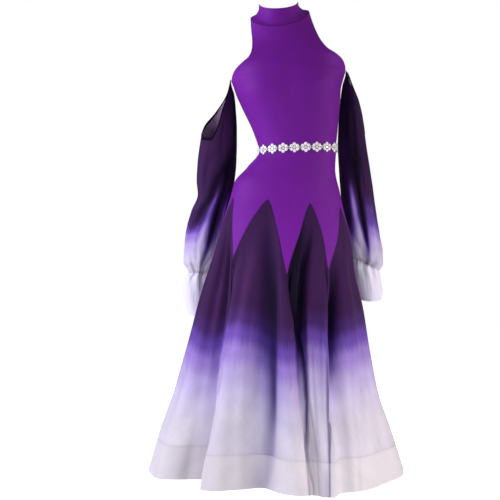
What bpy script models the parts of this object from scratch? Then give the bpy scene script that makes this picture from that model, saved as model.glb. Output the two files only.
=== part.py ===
"""Ballroom dance dress: halter bodice with down-points, flared godet skirt, hung bishop sleeves.

The dress keeps the filled-out form of a worn garment, with nobody in it. Every piece of cloth is a
thin closed wall. Units are metres and degrees, +Z is up and the front faces -Y. The origin is the
centre of the neck seam, because the wearer's neck carries the dress. Heights are negative downward.
"""
import math
from collections import namedtuple

import bmesh
import bpy
from mathutils import Vector

# ---- driving dimensions (metres, degrees) ----
JERSEY = 0.0016            # wall of the stretch bodice
CHIFFON = 0.0014           # wall of the skirt panels, sleeves and cuffs
HEM_WALL = 0.0020          # the hem band is turned double
BINDING_WALL = 0.0024      # folded binding on the sleeve tops
SEAM_GAP = 0.0003          # between two sewn pieces

UNDERARM = -0.183          # height where front and back meet below the arm
WAIST = -0.400             # height of the belt line
POINT_START = -0.445       # rows of the bodice start to follow its pointed edge here
PEAK = -0.5576             # height of the godet peaks
POINT_POWER = 1.45         # curve of the arches between the points
HEM = -1.345               # height of the skirt hem
HEM_BAND = 0.089           # width of the hem band
RELIEF_HEIGHT = 0.35       # share of the skirt's length over which the folds open
COLLAR_TOP = 0.034         # the collar stands this high above the neck seam

PANELS = 8                 # godets, and as many down-points
PANEL_ANGLE = 360.0 / PANELS
PANEL_COLUMNS = 10         # columns of faces across one godet
HALF_COLUMNS = 2 * PANEL_COLUMNS   # columns across a quarter of the dress
SKIRT_ROWS = 9
BAND_ROWS = 2
CUFF_ROWS = 4
EDGE_ROWS = 4              # rows of the bodice that follow its pointed edge

SLEEVE_COLUMNS = 32
SLEEVE_ROWS = 9
SLEEVE_GATHERS = 8         # puckers round the elastic
GATHER_DEPTH = 0.0030
GATHER_REACH = 0.075       # how far the puckers run from the elastic
BINDING_WIDTH = 0.008
BINDING_GAP = 0.0009       # height between binding and sleeve, because their seam runs steeply

FLOWERS = 19               # flowers round the belt
FLOWER_PHASE = -0.012      # arc from the centre front to the nearest flower
BELT_CLEAR = 0.0008        # between the bodice and the belt
BELT_THICK = 0.0025
BELT_CROWN = 0.0012        # extra thickness along the middle of the belt
BELT_HALF = 0.013          # half height of a flower; rows of the bodice follow it

ARMHOLE_ROWS = (0.0, -0.030, -0.065, -0.098, -0.128, -0.156, UNDERARM)
TORSO_ROWS = (-0.222, -0.275, -0.335, WAIST + BELT_HALF, WAIST, WAIST - BELT_HALF, POINT_START)

DRESS_STEP = 0.4           # steps taken each way to find a normal: degrees round the dress,
SLEEVE_STEP = 1.0          # degrees round a sleeve
HEIGHT_STEP = 0.002        # and metres up and down
SMOOTH_ANGLE = 40.0        # edges sharper than this stay sharp

MM = 0.001

# ---- sections of the body of the dress, from the collar down ----
# height, centre: millimetres; roll: degrees the ring is tipped, + lifts the +X side;
# width: half width; front, back: half depths; dip: how much lower the front of the ring is;
# back_dip: the same behind; square: 2 is an ellipse, more is fuller at the corners
Section = namedtuple("Section", "name height centre roll width front back dip back_dip square")
SECTIONS = (
    Section("collar top", 34, -4, 3.4, 57, 58, 52, 29, 9, 2.0),
    Section("collar middle", 21, -3, 4.4, 58.5, 59, 53, 34, 8, 2.0),
    Section("collar root", 7, -1, 5.9, 68, 62, 56, 42, 6, 2.0),
    Section("neck seam", 0, 0, 6.8, 86, 67, 60, 46, 5, 2.0),
    Section("upper chest", -62, 14, 6.3, 123, 82, 76, 31, 2, 2.0),
    Section("chest", -114, 22, 6.2, 200, 99, 90, 17, 0, 2.0),
    Section("underarm", -183, 25.5, 5.0, 169, 115, 99, 0, 0, 2.0),
    Section("bust", -222, 26, 4.5, 156, 117, 97, 0, 0, 2.15),
    Section("ribs", -268, 33, 3.5, 144, 110, 89, 0, 0, 2.2),
    Section("midriff", -347, 47, 2.4, 123, 90, 75, 0, 0, 2.2),
    Section("waist", -400, 52, 2.0, 113.5, 81, 71, 0, 0, 2.2),
    Section("high hip", -457, 34, -2.6, 129, 89, 88, 0, 0, 2.2),
    Section("hip", -505, 20.7, -3.8, 153.5, 98, 108, 0, 0, 2.2),
    Section("godet peaks", -554, 20, -5.0, 165.5, 106, 121, 0, 0, 2.15),
    Section("thigh", -637, 20, -7.0, 189, 130, 140, 0, 0, 2.1),
    Section("points", -735, 14, -8.0, 209, 157, 162, 0, 0, 2.0),
    Section("knee", -843, 8, -5.0, 237.5, 188, 190, 0, 0, 2.0),
    Section("calf", -973, 0, -3.0, 265.5, 222, 222, 0, 0, 2.0),
    Section("low calf", -1114, -8, -1.5, 300.5, 262, 262, 0, 0, 2.0),
    Section("above band", -1223, -11, -0.5, 339.5, 300, 300, 0, 0, 2.0),
    Section("hem", -1345, -12, 0.7, 377, 335, 335, 0, 0, 2.0),
)

# ---- cut-in armholes: where the edge of the front and of the back lies (millimetres) ----
# edge: distance of the edge from the middle; front, back: its depth from the side seam's plane
Armhole = namedtuple("Armhole", "height edge front back")
ARMHOLES = (
    Armhole(0, 86, 0, 0),
    Armhole(-29, 90.5, 30, 27),
    Armhole(-62, 95.5, 55, 49),
    Armhole(-94, 104.5, 75, 67),
    Armhole(-114, 115, 84, 75),
    Armhole(-128, 129, 82, 74),
    Armhole(-153, 153, 60, 54),
    Armhole(-170, 164, 32, 29),
    Armhole(-183, 169, 0, 0),
)

# ---- bust darts: soft fullness of the front (height, angle and sizes) ----
BUST_HEIGHT = -0.222
BUST_ANGLE = 33.0
BUST_SPREAD = 0.050
BUST_RISE = 0.011

# ---- lower ends of the eight down-points, by the angle of their seam ----
Point = namedtuple("Point", "angle height")
POINTS = (
    Point(0, -0.766), Point(45, -0.738), Point(90, -0.715), Point(135, -0.738),
    Point(180, -0.766), Point(225, -0.738), Point(270, -0.715), Point(315, -0.738),
)

# ---- folds of the skirt: one row for each crest and each valley ----
# top: its angle on the pattern (0 front, 90 the +X side); hip, hem: its angle at the godet peaks
# and at the hem;
# middle, foot: its distance from the axis as a share of the plain cone's, at mid height and at the
# hem; hang: how much lower than the plain hem it hangs (millimetres)
Fold = namedtuple("Fold", "name top hip hem middle foot hang")
FOLDS = (
    Fold("left side crest", -90, -90, -92, 1.00, 0.99, -8),
    Fold("left side shoulder", -75, -76, -72, 0.98, 0.97, -2),
    Fold("left deep valley", -60, -63, -53, 0.80, 0.62, 0),
    Fold("left front crest", -45, -49.5, -35.5, 1.02, 0.93, 2),
    Fold("broad front valley", -22.5, -18.5, -11, 0.84, 0.745, 0),
    Fold("centre crest", 0, -1.8, 8, 1.02, 1.00, 2),
    Fold("deep front valley", 17, 16, 15, 0.62, 0.92, 9),
    Fold("inner crest", 45, 39.5, 22.5, 0.97, 1.05, 9),
    Fold("dark valley", 53, 50, 27.5, 0.80, 0.97, 6),
    Fold("right front crest", 63, 62.5, 37, 1.01, 1.01, 4),
    Fold("right shallow valley", 73, 73, 56, 0.96, 0.965, 4),
    Fold("right shoulder", 82, 82, 75, 1.00, 0.99, 3),
    Fold("right side crest", 90, 90, 92, 1.00, 1.00, 0),
    Fold("back right valley", 112, 112, 107, 0.84, 0.80, 0),
    Fold("back right crest", 135, 135, 122, 1.01, 1.00, 1),
    Fold("back second valley", 146, 146, 136, 0.80, 0.74, 3),
    Fold("back second crest", 157, 157, 149, 1.00, 1.02, 2),
    Fold("back third valley", 168, 168, 163, 0.86, 0.80, 0),
    Fold("centre back crest", 180, 180, 177, 1.01, 1.00, 0),
    Fold("back fourth valley", 203, 203, 193, 0.78, 0.74, 3),
    Fold("back left crest", 225, 225, 208, 1.01, 0.98, 0),
    Fold("back fifth valley", 236, 236, 221, 0.86, 0.84, 0),
    Fold("back fifth crest", 247, 247, 234, 1.00, 1.01, 2),
    Fold("back left valley", 258, 258, 251, 0.90, 0.82, 0),
)

# ---- sleeves, and the cuffs below their elastic: rings from the top down (millimetres) ----
# inner: x of the side next to the body; outer: x of the side away from it; back: how far behind the
# side seam the ring's centre lies; depth: half depth of the ring; slant: how much lower the outer
# side of the ring is than the inner side
Ring = namedtuple("Ring", "height inner outer back depth slant")
LEFT_SLEEVE = (
    Ring(-194, -146.4, -181, 0, 26, 0),
    Ring(-215, -141.5, -192, 2, 31, 0),
    Ring(-238, -134.5, -203, 5, 36, 0),
    Ring(-281, -130, -219, 12, 42, 0),
    Ring(-339, -127, -228.5, 20, 46, 0),
    Ring(-371, -127, -235, 28, 48, 0),
    Ring(-433, -128.5, -244, 40, 50, 0),
    Ring(-489, -134.5, -248, 52, 50, 0),
    Ring(-530, -140, -244, 60, 50, 0),
    Ring(-581, -151.2, -263.7, 74, 53, 0),
    Ring(-638, -160.5, -281.5, 92, 56, 0),
    Ring(-680, -170, -287, 106, 56, 0),
    Ring(-732, -187, -289.5, 122, 50, 0),
    Ring(-753, -203, -278, 127, 38, 0),
    Ring(-766, -212, -272, 129, 27, 0),
)
LEFT_CUFF = (
    Ring(-778, -212, -283, 131, 32, 0),
    Ring(-802, -212, -290, 136, 35, 0),
    Ring(-833, -213, -291, 142, 36, 0),
    Ring(-862, -216, -285, 147, 35, 0),
    Ring(-888, -220, -277, 151, 32, 0),
)
RIGHT_SLEEVE = (
    Ring(-168, 196.7, 226, 0, 22, 0),
    Ring(-185, 192.8, 231, 0, 26, 0),
    Ring(-210, 185.5, 231, 4, 31, 0),
    Ring(-257, 179.5, 240, 12, 37, 0),
    Ring(-322, 174.8, 249, 20, 41, 0),
    Ring(-377, 173.5, 256.9, 30, 44, 0),
    Ring(-472, 180, 274, 50, 47, 0),
    Ring(-548, 187.5, 288.1, 65, 50, 0),
    Ring(-650, 203, 305.8, 90, 53, 6),
    Ring(-690, 213, 314, 99, 51, 16),
    Ring(-708, 222, 314, 102, 42, 30),
    Ring(-722, 231, 303, 103, 28, 36),
)
RIGHT_CUFF = (
    Ring(-744, 229, 305, 105, 33, 26),
    Ring(-781, 234, 311.1, 110, 37, 12),
    Ring(-821, 241, 316.5, 115, 39, 4),
    Ring(-842, 247, 312, 118, 37, 0),
)

# Slanted sleeve top: height of the cut edge by the angle round the sleeve. 0 is next to the body,
# 90 the front, 180 the outer side, 270 the back.
Cut = namedtuple("Cut", "angle height")
LEFT_CUT = (
    Cut(0, -194), Cut(35, -207), Cut(65, -241), Cut(82, -283), Cut(98, -340), Cut(112, -366),
    Cut(150, -362), Cut(180, -346), Cut(205, -323), Cut(242, -291), Cut(270, -256),
    Cut(295, -225), Cut(325, -203),
)
RIGHT_CUT = (
    Cut(0, -168), Cut(40, -175), Cut(90, -204), Cut(120, -235), Cut(150, -284), Cut(180, -346),
    Cut(210, -292), Cut(240, -240), Cut(270, -206), Cut(320, -175),
)
CUFF_HEM_SAG = 0.010       # how much lower the cuff hangs at front and back than at its sides


# ---- smooth tables ----
def smooth_curve(knots, values, period=0.0):
    """A curve through the knots that never swings past its neighbours. It repeats with a period."""
    pairs = sorted(zip(knots, values))
    if period:
        pairs = ([(x - period, y) for x, y in pairs[-3:]] + pairs
                 + [(x + period, y) for x, y in pairs[:3]])
    xs = [x for x, _ in pairs]
    ys = [y for _, y in pairs]
    rises = [(ys[i + 1] - ys[i]) / (xs[i + 1] - xs[i]) for i in range(len(xs) - 1)]
    slopes = [rises[0]]
    for before, after in zip(rises, rises[1:]):
        slopes.append(0.0 if before * after <= 0 else 2 * before * after / (before + after))
    slopes.append(rises[-1])

    def value(x):
        if period:
            x = (x - xs[3]) % period + xs[3]
        x = min(max(x, xs[0]), xs[-1])
        i = 0
        while i < len(xs) - 2 and x > xs[i + 1]:
            i += 1
        step = xs[i + 1] - xs[i]
        u = (x - xs[i]) / step
        return (ys[i] * (1 + 2 * u) * (1 - u) ** 2 + ys[i + 1] * u * u * (3 - 2 * u)
                + step * (slopes[i] * u * (1 - u) ** 2 - slopes[i + 1] * u * u * (1 - u)))
    return value


def column(table, name, unit=MM, key="height"):
    """One column of a table as a curve over the table's heights."""
    knots = [getattr(row, key) * MM for row in table]
    return smooth_curve(knots, [getattr(row, name) * unit for row in table])


def turning(table, name, unit=1.0, key="angle", offset=0.0):
    """One column of a table as a curve over the full turn."""
    knots = [getattr(row, key) for row in table]
    return smooth_curve(knots, [getattr(row, name) * unit - offset * getattr(row, key)
                                for row in table], 360.0)


def ease(u):
    """0 to 1 with soft ends."""
    u = min(max(u, 0.0), 1.0)
    return u * u * (3 - 2 * u)


BODY = {name: column(SECTIONS, name) for name in
        ("centre", "width", "front", "back", "dip", "back_dip")}
BODY["roll"] = column(SECTIONS, "roll", math.radians(1.0))
BODY["square"] = column(SECTIONS, "square", 1.0)
ARM = {name: column(ARMHOLES, name) for name in ("edge", "front", "back")}
HIP_SHIFT = turning(FOLDS, "hip", 1.0, "top", 1.0)
HEM_SHIFT = turning(FOLDS, "hem", 1.0, "top", 1.0)
FOLD_MIDDLE = turning(FOLDS, "middle", 1.0, "top")
FOLD_FOOT = turning(FOLDS, "foot", 1.0, "top")
FOLD_HANG = turning(FOLDS, "hang", MM, "top")


# ---- the surface of the bodice and skirt ----
def point_edge(angle):
    """Height of the pointed edge of the bodice at an angle."""
    place = (angle % 360.0) / PANEL_ANGLE
    panel = int(place)
    across = place - panel
    nearest = POINTS[(panel + (across > 0.5)) % PANELS]
    return PEAK - (PEAK - nearest.height) * abs(2 * across - 1) ** POINT_POWER


def hem_height(angle):
    return HEM - FOLD_HANG(angle)


def fold(angle, height):
    """Where the cloth cut at this angle hangs at this height: its angle and its share of radius."""
    share = min(max((PEAK - height) / (PEAK - HEM), 0.0), 1.1)
    at_hip = HIP_SHIFT(angle) * ease((WAIST - height) / (WAIST - PEAK))
    turned = angle + at_hip * (1 - share) + HEM_SHIFT(angle) * share
    below = (point_edge(angle) - height) / (point_edge(angle) - HEM)
    if below <= 0:
        return turned, 1.0
    target = FOLD_MIDDLE(angle) + (FOLD_FOOT(angle) - FOLD_MIDDLE(angle)) * ease((below - 0.3) / 0.7)
    return turned, 1.0 + (target - 1.0) * ease(below / RELIEF_HEIGHT)


def bust(angle, height):
    """How far the bust fullness lifts the front."""
    turned = (angle + 180.0) % 360.0 - 180.0
    across = (abs(turned) - BUST_ANGLE) * math.radians(1.0) * BODY["front"](height)
    reach = math.hypot(across, height - BUST_HEIGHT) / BUST_SPREAD
    return BUST_RISE * math.exp(-reach * reach)


def armhole_angle(height, side):
    """Angle of the armhole edge on the front or back half, 90 below the underarm."""
    if height <= UNDERARM:
        return 90.0
    share = ARM[side](height) / BODY[side](height)
    return math.degrees(math.acos(min(share, 1.0)))


def ring_width(height, side):
    """Half width of the ring. Above the underarm the ring runs through the armhole edge."""
    if height <= UNDERARM or height >= 0:
        return BODY["width"](height)
    return ARM["edge"](height) / math.sin(math.radians(armhole_angle(height, side)))


def dress_point(angle, height):
    """The middle of the cloth at an angle of the pattern and a height."""
    turned, share = fold(angle, height)
    sine, cosine = math.sin(math.radians(turned)), math.cos(math.radians(turned))
    side = "front" if cosine > 0 else "back"
    power = 2.0 / BODY["square"](height)
    lift = bust(angle, height) if cosine > 0 else 0.0
    x = (ring_width(height, side) * share + lift) * math.copysign(abs(sine) ** power, sine)
    y = -(BODY[side](height) * share + lift) * math.copysign(abs(cosine) ** power, cosine)
    dip = BODY["dip" if cosine > 0 else "back_dip"](height) * abs(cosine)
    roll = BODY["roll"](height)
    return Vector((BODY["centre"](height) + x * math.cos(roll), y,
                   height - dip + x * math.sin(roll)))


def outward(surface, u, v, du, dv, inside):
    """The unit normal of a surface at (u, v), pointing away from the point `inside`."""
    along = surface(u + du, v) - surface(u - du, v)
    down = surface(u, v - dv) - surface(u, v + dv)
    normal = along.cross(down).normalized()
    return normal if normal.dot(surface(u, v) - inside) > 0 else -normal


def dress_normal(angle, height):
    """The unit normal of the dress. It faces the way its own angle round the dress points."""
    turned = math.radians(fold(angle, height)[0])
    outside = Vector((math.sin(turned), -math.cos(turned), 0.0))
    inside = dress_point(angle, height) - outside
    return outward(dress_point, angle, height, DRESS_STEP, HEIGHT_STEP, inside)


# ---- walls of cloth ----
def pull_in(rows, closed):
    """Draw the border of a grid in by half a seam gap."""
    gap = SEAM_GAP / 2
    count = len(rows[0])
    moved = [[point.copy() for point in row] for row in rows]
    for edge, inner in ((0, 1), (-1, -2)):
        for i in range(count):
            moved[edge][i] += (rows[inner][i] - rows[edge][i]).normalized() * gap
    if not closed:
        for row, old in zip(moved, rows):
            row[0] += (old[1] - old[0]).normalized() * gap
            row[-1] += (old[-2] - old[-1]).normalized() * gap
    return moved


def shell(name, outer, inner, closed, material):
    """One closed solid between an outer and an inner grid of points."""
    mesh = bmesh.new()
    grids = [[[mesh.verts.new(point) for point in row] for row in rows] for rows in (outer, inner)]
    rows, columns = len(outer), len(outer[0])
    last = columns if closed else columns - 1
    for r in range(rows - 1):
        for c in range(last):
            d = (c + 1) % columns
            for grid, flip in zip(grids, (False, True)):
                corners = [grid[r][c], grid[r][d], grid[r + 1][d], grid[r + 1][c]]
                mesh.faces.new(corners[::-1] if flip else corners)
    for r in (0, rows - 1):
        for c in range(last):
            d = (c + 1) % columns
            mesh.faces.new([grids[0][r][c], grids[0][r][d], grids[1][r][d], grids[1][r][c]])
    if not closed:
        for c in (0, columns - 1):
            for r in range(rows - 1):
                mesh.faces.new([grids[0][r][c], grids[0][r + 1][c],
                                grids[1][r + 1][c], grids[1][r][c]])
    bmesh.ops.recalc_face_normals(mesh, faces=mesh.faces)
    if mesh.calc_volume(signed=True) < 0:
        bmesh.ops.reverse_faces(mesh, faces=mesh.faces)
    data = bpy.data.meshes.new(name)
    mesh.to_mesh(data)
    mesh.free()
    data.shade_smooth()
    data.set_sharp_from_angle(angle=math.radians(SMOOTH_ANGLE))
    data.materials.append(material)
    piece = bpy.data.objects.new(name, data)
    bpy.context.scene.collection.objects.link(piece)
    return piece


def cloth(name, places, point, normal, wall, material, closed=False):
    """A wall of cloth over a grid of places on a surface."""
    middle = pull_in([[point(*place) for place in row] for row in places], closed)
    normals = [[normal(*place) for place in row] for row in places]
    outer = [[p + n * (wall / 2) for p, n in zip(*pair)] for pair in zip(middle, normals)]
    inner = [[p - n * (wall / 2) for p, n in zip(*pair)] for pair in zip(middle, normals)]
    return shell(name, outer, inner, closed, material)


def finish(name, colour, roughness, metallic=0.0):
    """A plain Principled material."""
    material = bpy.data.materials.new(name)
    material.use_nodes = True
    shader = material.node_tree.nodes["Principled BSDF"]
    shader.inputs["Base Color"].default_value = (*colour, 1.0)
    shader.inputs["Roughness"].default_value = roughness
    shader.inputs["Metallic"].default_value = metallic
    return material


def steps(start, stop, count):
    """count + 1 even values from start to stop."""
    return [start + (stop - start) * i / count for i in range(count + 1)]


# ---- bodice and collar ----
def bodice_places(side, first, last):
    """Grid of a bodice piece: from the neck seam to the pointed edge, over a range of columns.

    Columns are counted from the middle of the front or back, a quarter of the dress each way.
    """
    middle = 0.0 if side == "front" else 180.0
    columns = range(first, last + 1)
    rows = []
    for height in ARMHOLE_ROWS + TORSO_ROWS:
        reach = armhole_angle(height, side)
        rows.append([(middle + reach * c / HALF_COLUMNS, height) for c in columns])
    for i in range(1, EDGE_ROWS + 1):
        row = []
        for c in columns:
            angle = middle + 90.0 * c / HALF_COLUMNS
            row.append((angle, POINT_START + (point_edge(angle) - POINT_START) * i / EDGE_ROWS))
        rows.append(row)
    return rows


def make_bodice():
    jersey = finish("jersey", (0.165, 0.020, 0.330), 0.55)
    for name, side, first, last in (
            ("bodice_front", "front", -HALF_COLUMNS, HALF_COLUMNS),
            ("bodice_back_right", "back", -HALF_COLUMNS, 0),
            ("bodice_back_left", "back", 0, HALF_COLUMNS)):
        cloth(name, bodice_places(side, first, last), dress_point, dress_normal, JERSEY, jersey)
    round_neck = [i * 90.0 / HALF_COLUMNS for i in range(4 * HALF_COLUMNS)]
    places = [[(angle, height) for angle in round_neck] for height in (COLLAR_TOP, COLLAR_TOP / 2, 0.0)]
    cloth("collar", places, dress_point, dress_normal, JERSEY, jersey, closed=True)


# ---- skirt ----
def make_skirt():
    chiffon = finish("skirt chiffon", (0.100, 0.045, 0.200), 0.75)
    band = finish("hem band", (0.760, 0.730, 0.800), 0.80)
    for panel in range(PANELS):
        start = panel * PANEL_ANGLE
        angles = steps(start, start + PANEL_ANGLE, PANEL_COLUMNS)
        rows = [[(a, point_edge(a) + (hem_height(a) + HEM_BAND - point_edge(a)) * v) for a in angles]
                for v in steps(0.0, 1.0, SKIRT_ROWS)]
        cloth(f"skirt_panel_{panel + 1}", rows, dress_point, dress_normal, CHIFFON, chiffon)
    turn = [i * PANEL_ANGLE / PANEL_COLUMNS for i in range(PANELS * PANEL_COLUMNS)]
    rows = [[(a, hem_height(a) + HEM_BAND * (1 - v)) for a in turn]
            for v in steps(0.0, 1.0, BAND_ROWS)]
    cloth("hem_band", rows, dress_point, dress_normal, HEM_WALL, band, closed=True)


# ---- sleeves ----
class Tube:
    """A sleeve with its cuff: rings from a table, and puckers next to the elastic."""

    def __init__(self, rings, gathered_at):
        self.rings = {name: column(rings, name)
                      for name in ("inner", "outer", "back", "depth", "slant")}
        self.gathered_at = gathered_at

    def point(self, angle, height):
        ring = {name: curve(height) for name, curve in self.rings.items()}
        turn = math.radians(angle)
        near = ease(1.0 - abs(height - self.gathered_at) / GATHER_REACH)
        pucker = GATHER_DEPTH * near * math.cos(SLEEVE_GATHERS * turn)
        middle = (ring["inner"] + ring["outer"]) / 2
        reach = (ring["inner"] - ring["outer"]) / 2
        scale = 1.0 + pucker / abs(reach)
        outer_share = (1.0 - math.cos(turn)) / 2
        return Vector((middle + reach * scale * math.cos(turn),
                       ring["back"] - (ring["depth"] + pucker) * math.sin(turn),
                       height - ring["slant"] * outer_share))

    def normal(self, angle, height):
        centre = (self.point(angle, height) + self.point(angle + 180.0, height)) / 2
        return outward(self.point, angle, height, SLEEVE_STEP, HEIGHT_STEP, centre)


def sleeve_angles():
    return [i * 360.0 / SLEEVE_COLUMNS for i in range(SLEEVE_COLUMNS)]


def make_sleeve(side, sleeve_rings, cuff_rings, cut):
    chiffon = finish(f"sleeve chiffon {side}", (0.110, 0.055, 0.230), 0.75)
    black = finish(f"binding {side}", (0.012, 0.008, 0.018), 0.70)
    white = finish(f"cuff {side}", (0.780, 0.750, 0.850), 0.80)
    wrist = sleeve_rings[-1].height * MM
    cuff_foot = cuff_rings[-1].height * MM
    cut_height = turning(cut, "height", MM)
    tube = Tube(sleeve_rings + cuff_rings, wrist)
    angles = sleeve_angles()
    rows = [[(a, cut_height(a) - BINDING_WIDTH * v) for a in angles] for v in (0, 1)]
    cloth(f"sleeve_binding_{side}", rows, tube.point, tube.normal, BINDING_WALL, black, True)
    tops = [cut_height(a) - BINDING_WIDTH - BINDING_GAP for a in angles]
    rows = [[(a, top + (wrist - top) * v) for a, top in zip(angles, tops)]
            for v in steps(0.0, 1.0, SLEEVE_ROWS)]
    cloth(f"sleeve_{side}", rows, tube.point, tube.normal, CHIFFON, chiffon, True)
    rows = [[(a, wrist + (cuff_foot - CUFF_HEM_SAG * abs(math.sin(math.radians(a))) - wrist) * v)
             for a in angles] for v in steps(0.0, 1.0, CUFF_ROWS)]
    cloth(f"cuff_{side}", rows, tube.point, tube.normal, CHIFFON, white, True)


# ---- belt of linked flowers ----
# half height of the belt along one flower and the link beside it, in equal steps (metres)
FLOWER_OUTLINE = (0.0028, 0.0055, 0.0130, 0.0098, 0.0130, 0.0055)


def waist_angles(count):
    """Angles of evenly spaced places round the waist, by arc length from FLOWER_PHASE."""
    fine = [i * 0.5 for i in range(721)]
    places = [dress_point(a, WAIST) for a in fine]
    lengths = [0.0]
    for before, after in zip(places, places[1:]):
        lengths.append(lengths[-1] + (after - before).length)
    by_length = smooth_curve(lengths, fine)
    girth = lengths[-1]
    return [by_length((FLOWER_PHASE + girth * i / count) % girth) for i in range(count)]


def make_belt():
    silver = finish("belt", (0.820, 0.790, 0.800), 0.30, 0.4)
    steps_each = len(FLOWER_OUTLINE)
    inner_off = JERSEY / 2 + BELT_CLEAR
    outer, inner = [], []
    for level in (1, 0, -1):
        outer_row, inner_row = [], []
        for i, angle in enumerate(waist_angles(FLOWERS * steps_each)):
            height = WAIST + level * FLOWER_OUTLINE[(i + steps_each // 2) % steps_each]
            place, normal = dress_point(angle, height), dress_normal(angle, height)
            crown = BELT_CROWN if level == 0 else 0.0
            inner_row.append(place + normal * inner_off)
            outer_row.append(place + normal * (inner_off + BELT_THICK + crown))
        outer.append(outer_row)
        inner.append(inner_row)
    shell("flower_belt", outer, inner, True, silver)


def main():
    for old in list(bpy.data.objects):
        bpy.data.objects.remove(old, do_unlink=True)
    make_bodice()
    make_skirt()
    make_sleeve("left", LEFT_SLEEVE, LEFT_CUFF, LEFT_CUT)
    make_sleeve("right", RIGHT_SLEEVE, RIGHT_CUFF, RIGHT_CUT)
    make_belt()


main()
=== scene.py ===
# %% [markdown]
# # A ballroom dance dress
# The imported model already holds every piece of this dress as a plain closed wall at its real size.
# This lesson gives each one its finish: fine cloth with creases, dyed chiffon, stitched hems,
# gathered cuffs and a belt of little flowers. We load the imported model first, because each new
# piece is made in the same place as the plain one that it stands for.

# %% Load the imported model
import math
from collections import namedtuple

import bmesh
import bpy
import numpy as np
from mathutils import Matrix, Vector


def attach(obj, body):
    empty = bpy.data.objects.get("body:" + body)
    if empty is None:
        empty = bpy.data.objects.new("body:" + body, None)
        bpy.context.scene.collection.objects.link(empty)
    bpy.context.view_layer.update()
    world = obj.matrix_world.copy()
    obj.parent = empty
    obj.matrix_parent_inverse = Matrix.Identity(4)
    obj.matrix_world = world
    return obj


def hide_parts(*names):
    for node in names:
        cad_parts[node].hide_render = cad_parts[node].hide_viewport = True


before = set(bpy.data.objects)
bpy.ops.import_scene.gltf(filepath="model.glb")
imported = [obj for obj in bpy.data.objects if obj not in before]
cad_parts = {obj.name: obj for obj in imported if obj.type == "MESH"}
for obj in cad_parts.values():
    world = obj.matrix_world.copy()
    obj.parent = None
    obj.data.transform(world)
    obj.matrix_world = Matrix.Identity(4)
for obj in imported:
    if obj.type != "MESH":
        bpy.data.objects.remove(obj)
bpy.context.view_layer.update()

MM = 0.001

# %% [markdown]
# ## Camera
# The camera stands level with the middle of the dress, a little more than three metres away, with a
# short telephoto lens. A long lens from far away keeps the hem from looking too wide.

# %% Camera
CAMERA_PLACE = (-0.0879, -3.2, -0.6956)
LENS = 78.1                # millimetres, on a sensor 36 mm wide


def add_object(name, data):
    """A new object in the scene."""
    made = bpy.data.objects.new(name, data)
    bpy.context.scene.collection.objects.link(made)
    return made


camera_data = bpy.data.cameras.new("camera")
camera_data.lens = LENS
camera_data.sensor_width = 36.0
camera = add_object("camera", camera_data)
camera.location = CAMERA_PLACE
camera.rotation_euler = (math.radians(90.0), 0.0, 0.0)
bpy.context.scene.camera = camera
print("camera at", CAMERA_PLACE)

# %% [markdown]
# ## Nodes
# Materials and the world are trees of nodes. `add_node` makes one node, fills its inputs and hands
# back an output, so that the next node can take it as an input of its own.

# %% Node helpers
def set_inputs(tree, node, values):
    """Fills a node's inputs. Each value is a constant or another node's output."""
    for name, value in values.items():
        if isinstance(value, bpy.types.NodeSocket):
            tree.links.new(value, node.inputs[name])
        else:
            node.inputs[name].default_value = value


def add_node(tree, kind, inputs, output=0, **settings):
    """One output of a new shader node with these settings and inputs."""
    node = tree.nodes.new("ShaderNode" + kind)
    for name, value in settings.items():
        setattr(node, name, value)
    set_inputs(tree, node, inputs)
    return node.outputs[output]


def math_node(tree, operation, *values, clamp=False):
    """A Math node. Each value is a number or another node's output."""
    return add_node(tree, "Math", dict(enumerate(values)), operation=operation, use_clamp=clamp)


def new_finish(name):
    """A new material, its tree of nodes and its main shader."""
    material = bpy.data.materials.new(name)
    material.use_nodes = True
    return material, material.node_tree, material.node_tree.nodes["Principled BSDF"]


print("node helpers are ready")

# %% [markdown]
# ## Floor and light
# A studio shot of a dress has a pale floor that runs into a pale background, so no line shows
# behind it. The floor here seems to give off light of its own, which hides its far edge, but casts
# little of it, because light from below would flatten the folds. Two large soft lamps stand at the
# sides, the left one cool and the right one warm. They leave the front darker, and this is what
# draws the folds. A narrow low lamp lights the pale lower half from the front, and two small ones
# light the cuffs.

# %% Floor
FLOOR = -1.50
FLOOR_RADIUS = 9.0
STAGE_WHITE = (0.80, 0.80, 0.81, 1.0)
WHITE = (1.0, 1.0, 1.0, 1.0)
GLOW_SEEN = 0.92           # the floor's own light as the camera sees it
GLOW_CAST = 0.12           # and as it falls on the dress

bpy.ops.mesh.primitive_circle_add(vertices=128, radius=FLOOR_RADIUS, fill_type="NGON",
                                  location=(0.0, 0.0, FLOOR))
floor = bpy.context.object
floor.name = "floor"
floor_finish, tree, shader = new_finish("floor")
by_camera = add_node(tree, "LightPath", {}, "Is Camera Ray")
glow = math_node(tree, "MULTIPLY_ADD", by_camera, GLOW_SEEN - GLOW_CAST, GLOW_CAST)
set_inputs(tree, shader, {"Base Color": STAGE_WHITE, "Roughness": 0.9, "Emission Color": WHITE,
                          "Emission Strength": glow})
floor.data.materials.append(floor_finish)
print("floor at", FLOOR)

# %% Lamps
Lamp = namedtuple("Lamp", "place target size watts colour angle")
SIDE_TARGET = (0.0, 0.0, -0.55)
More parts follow.
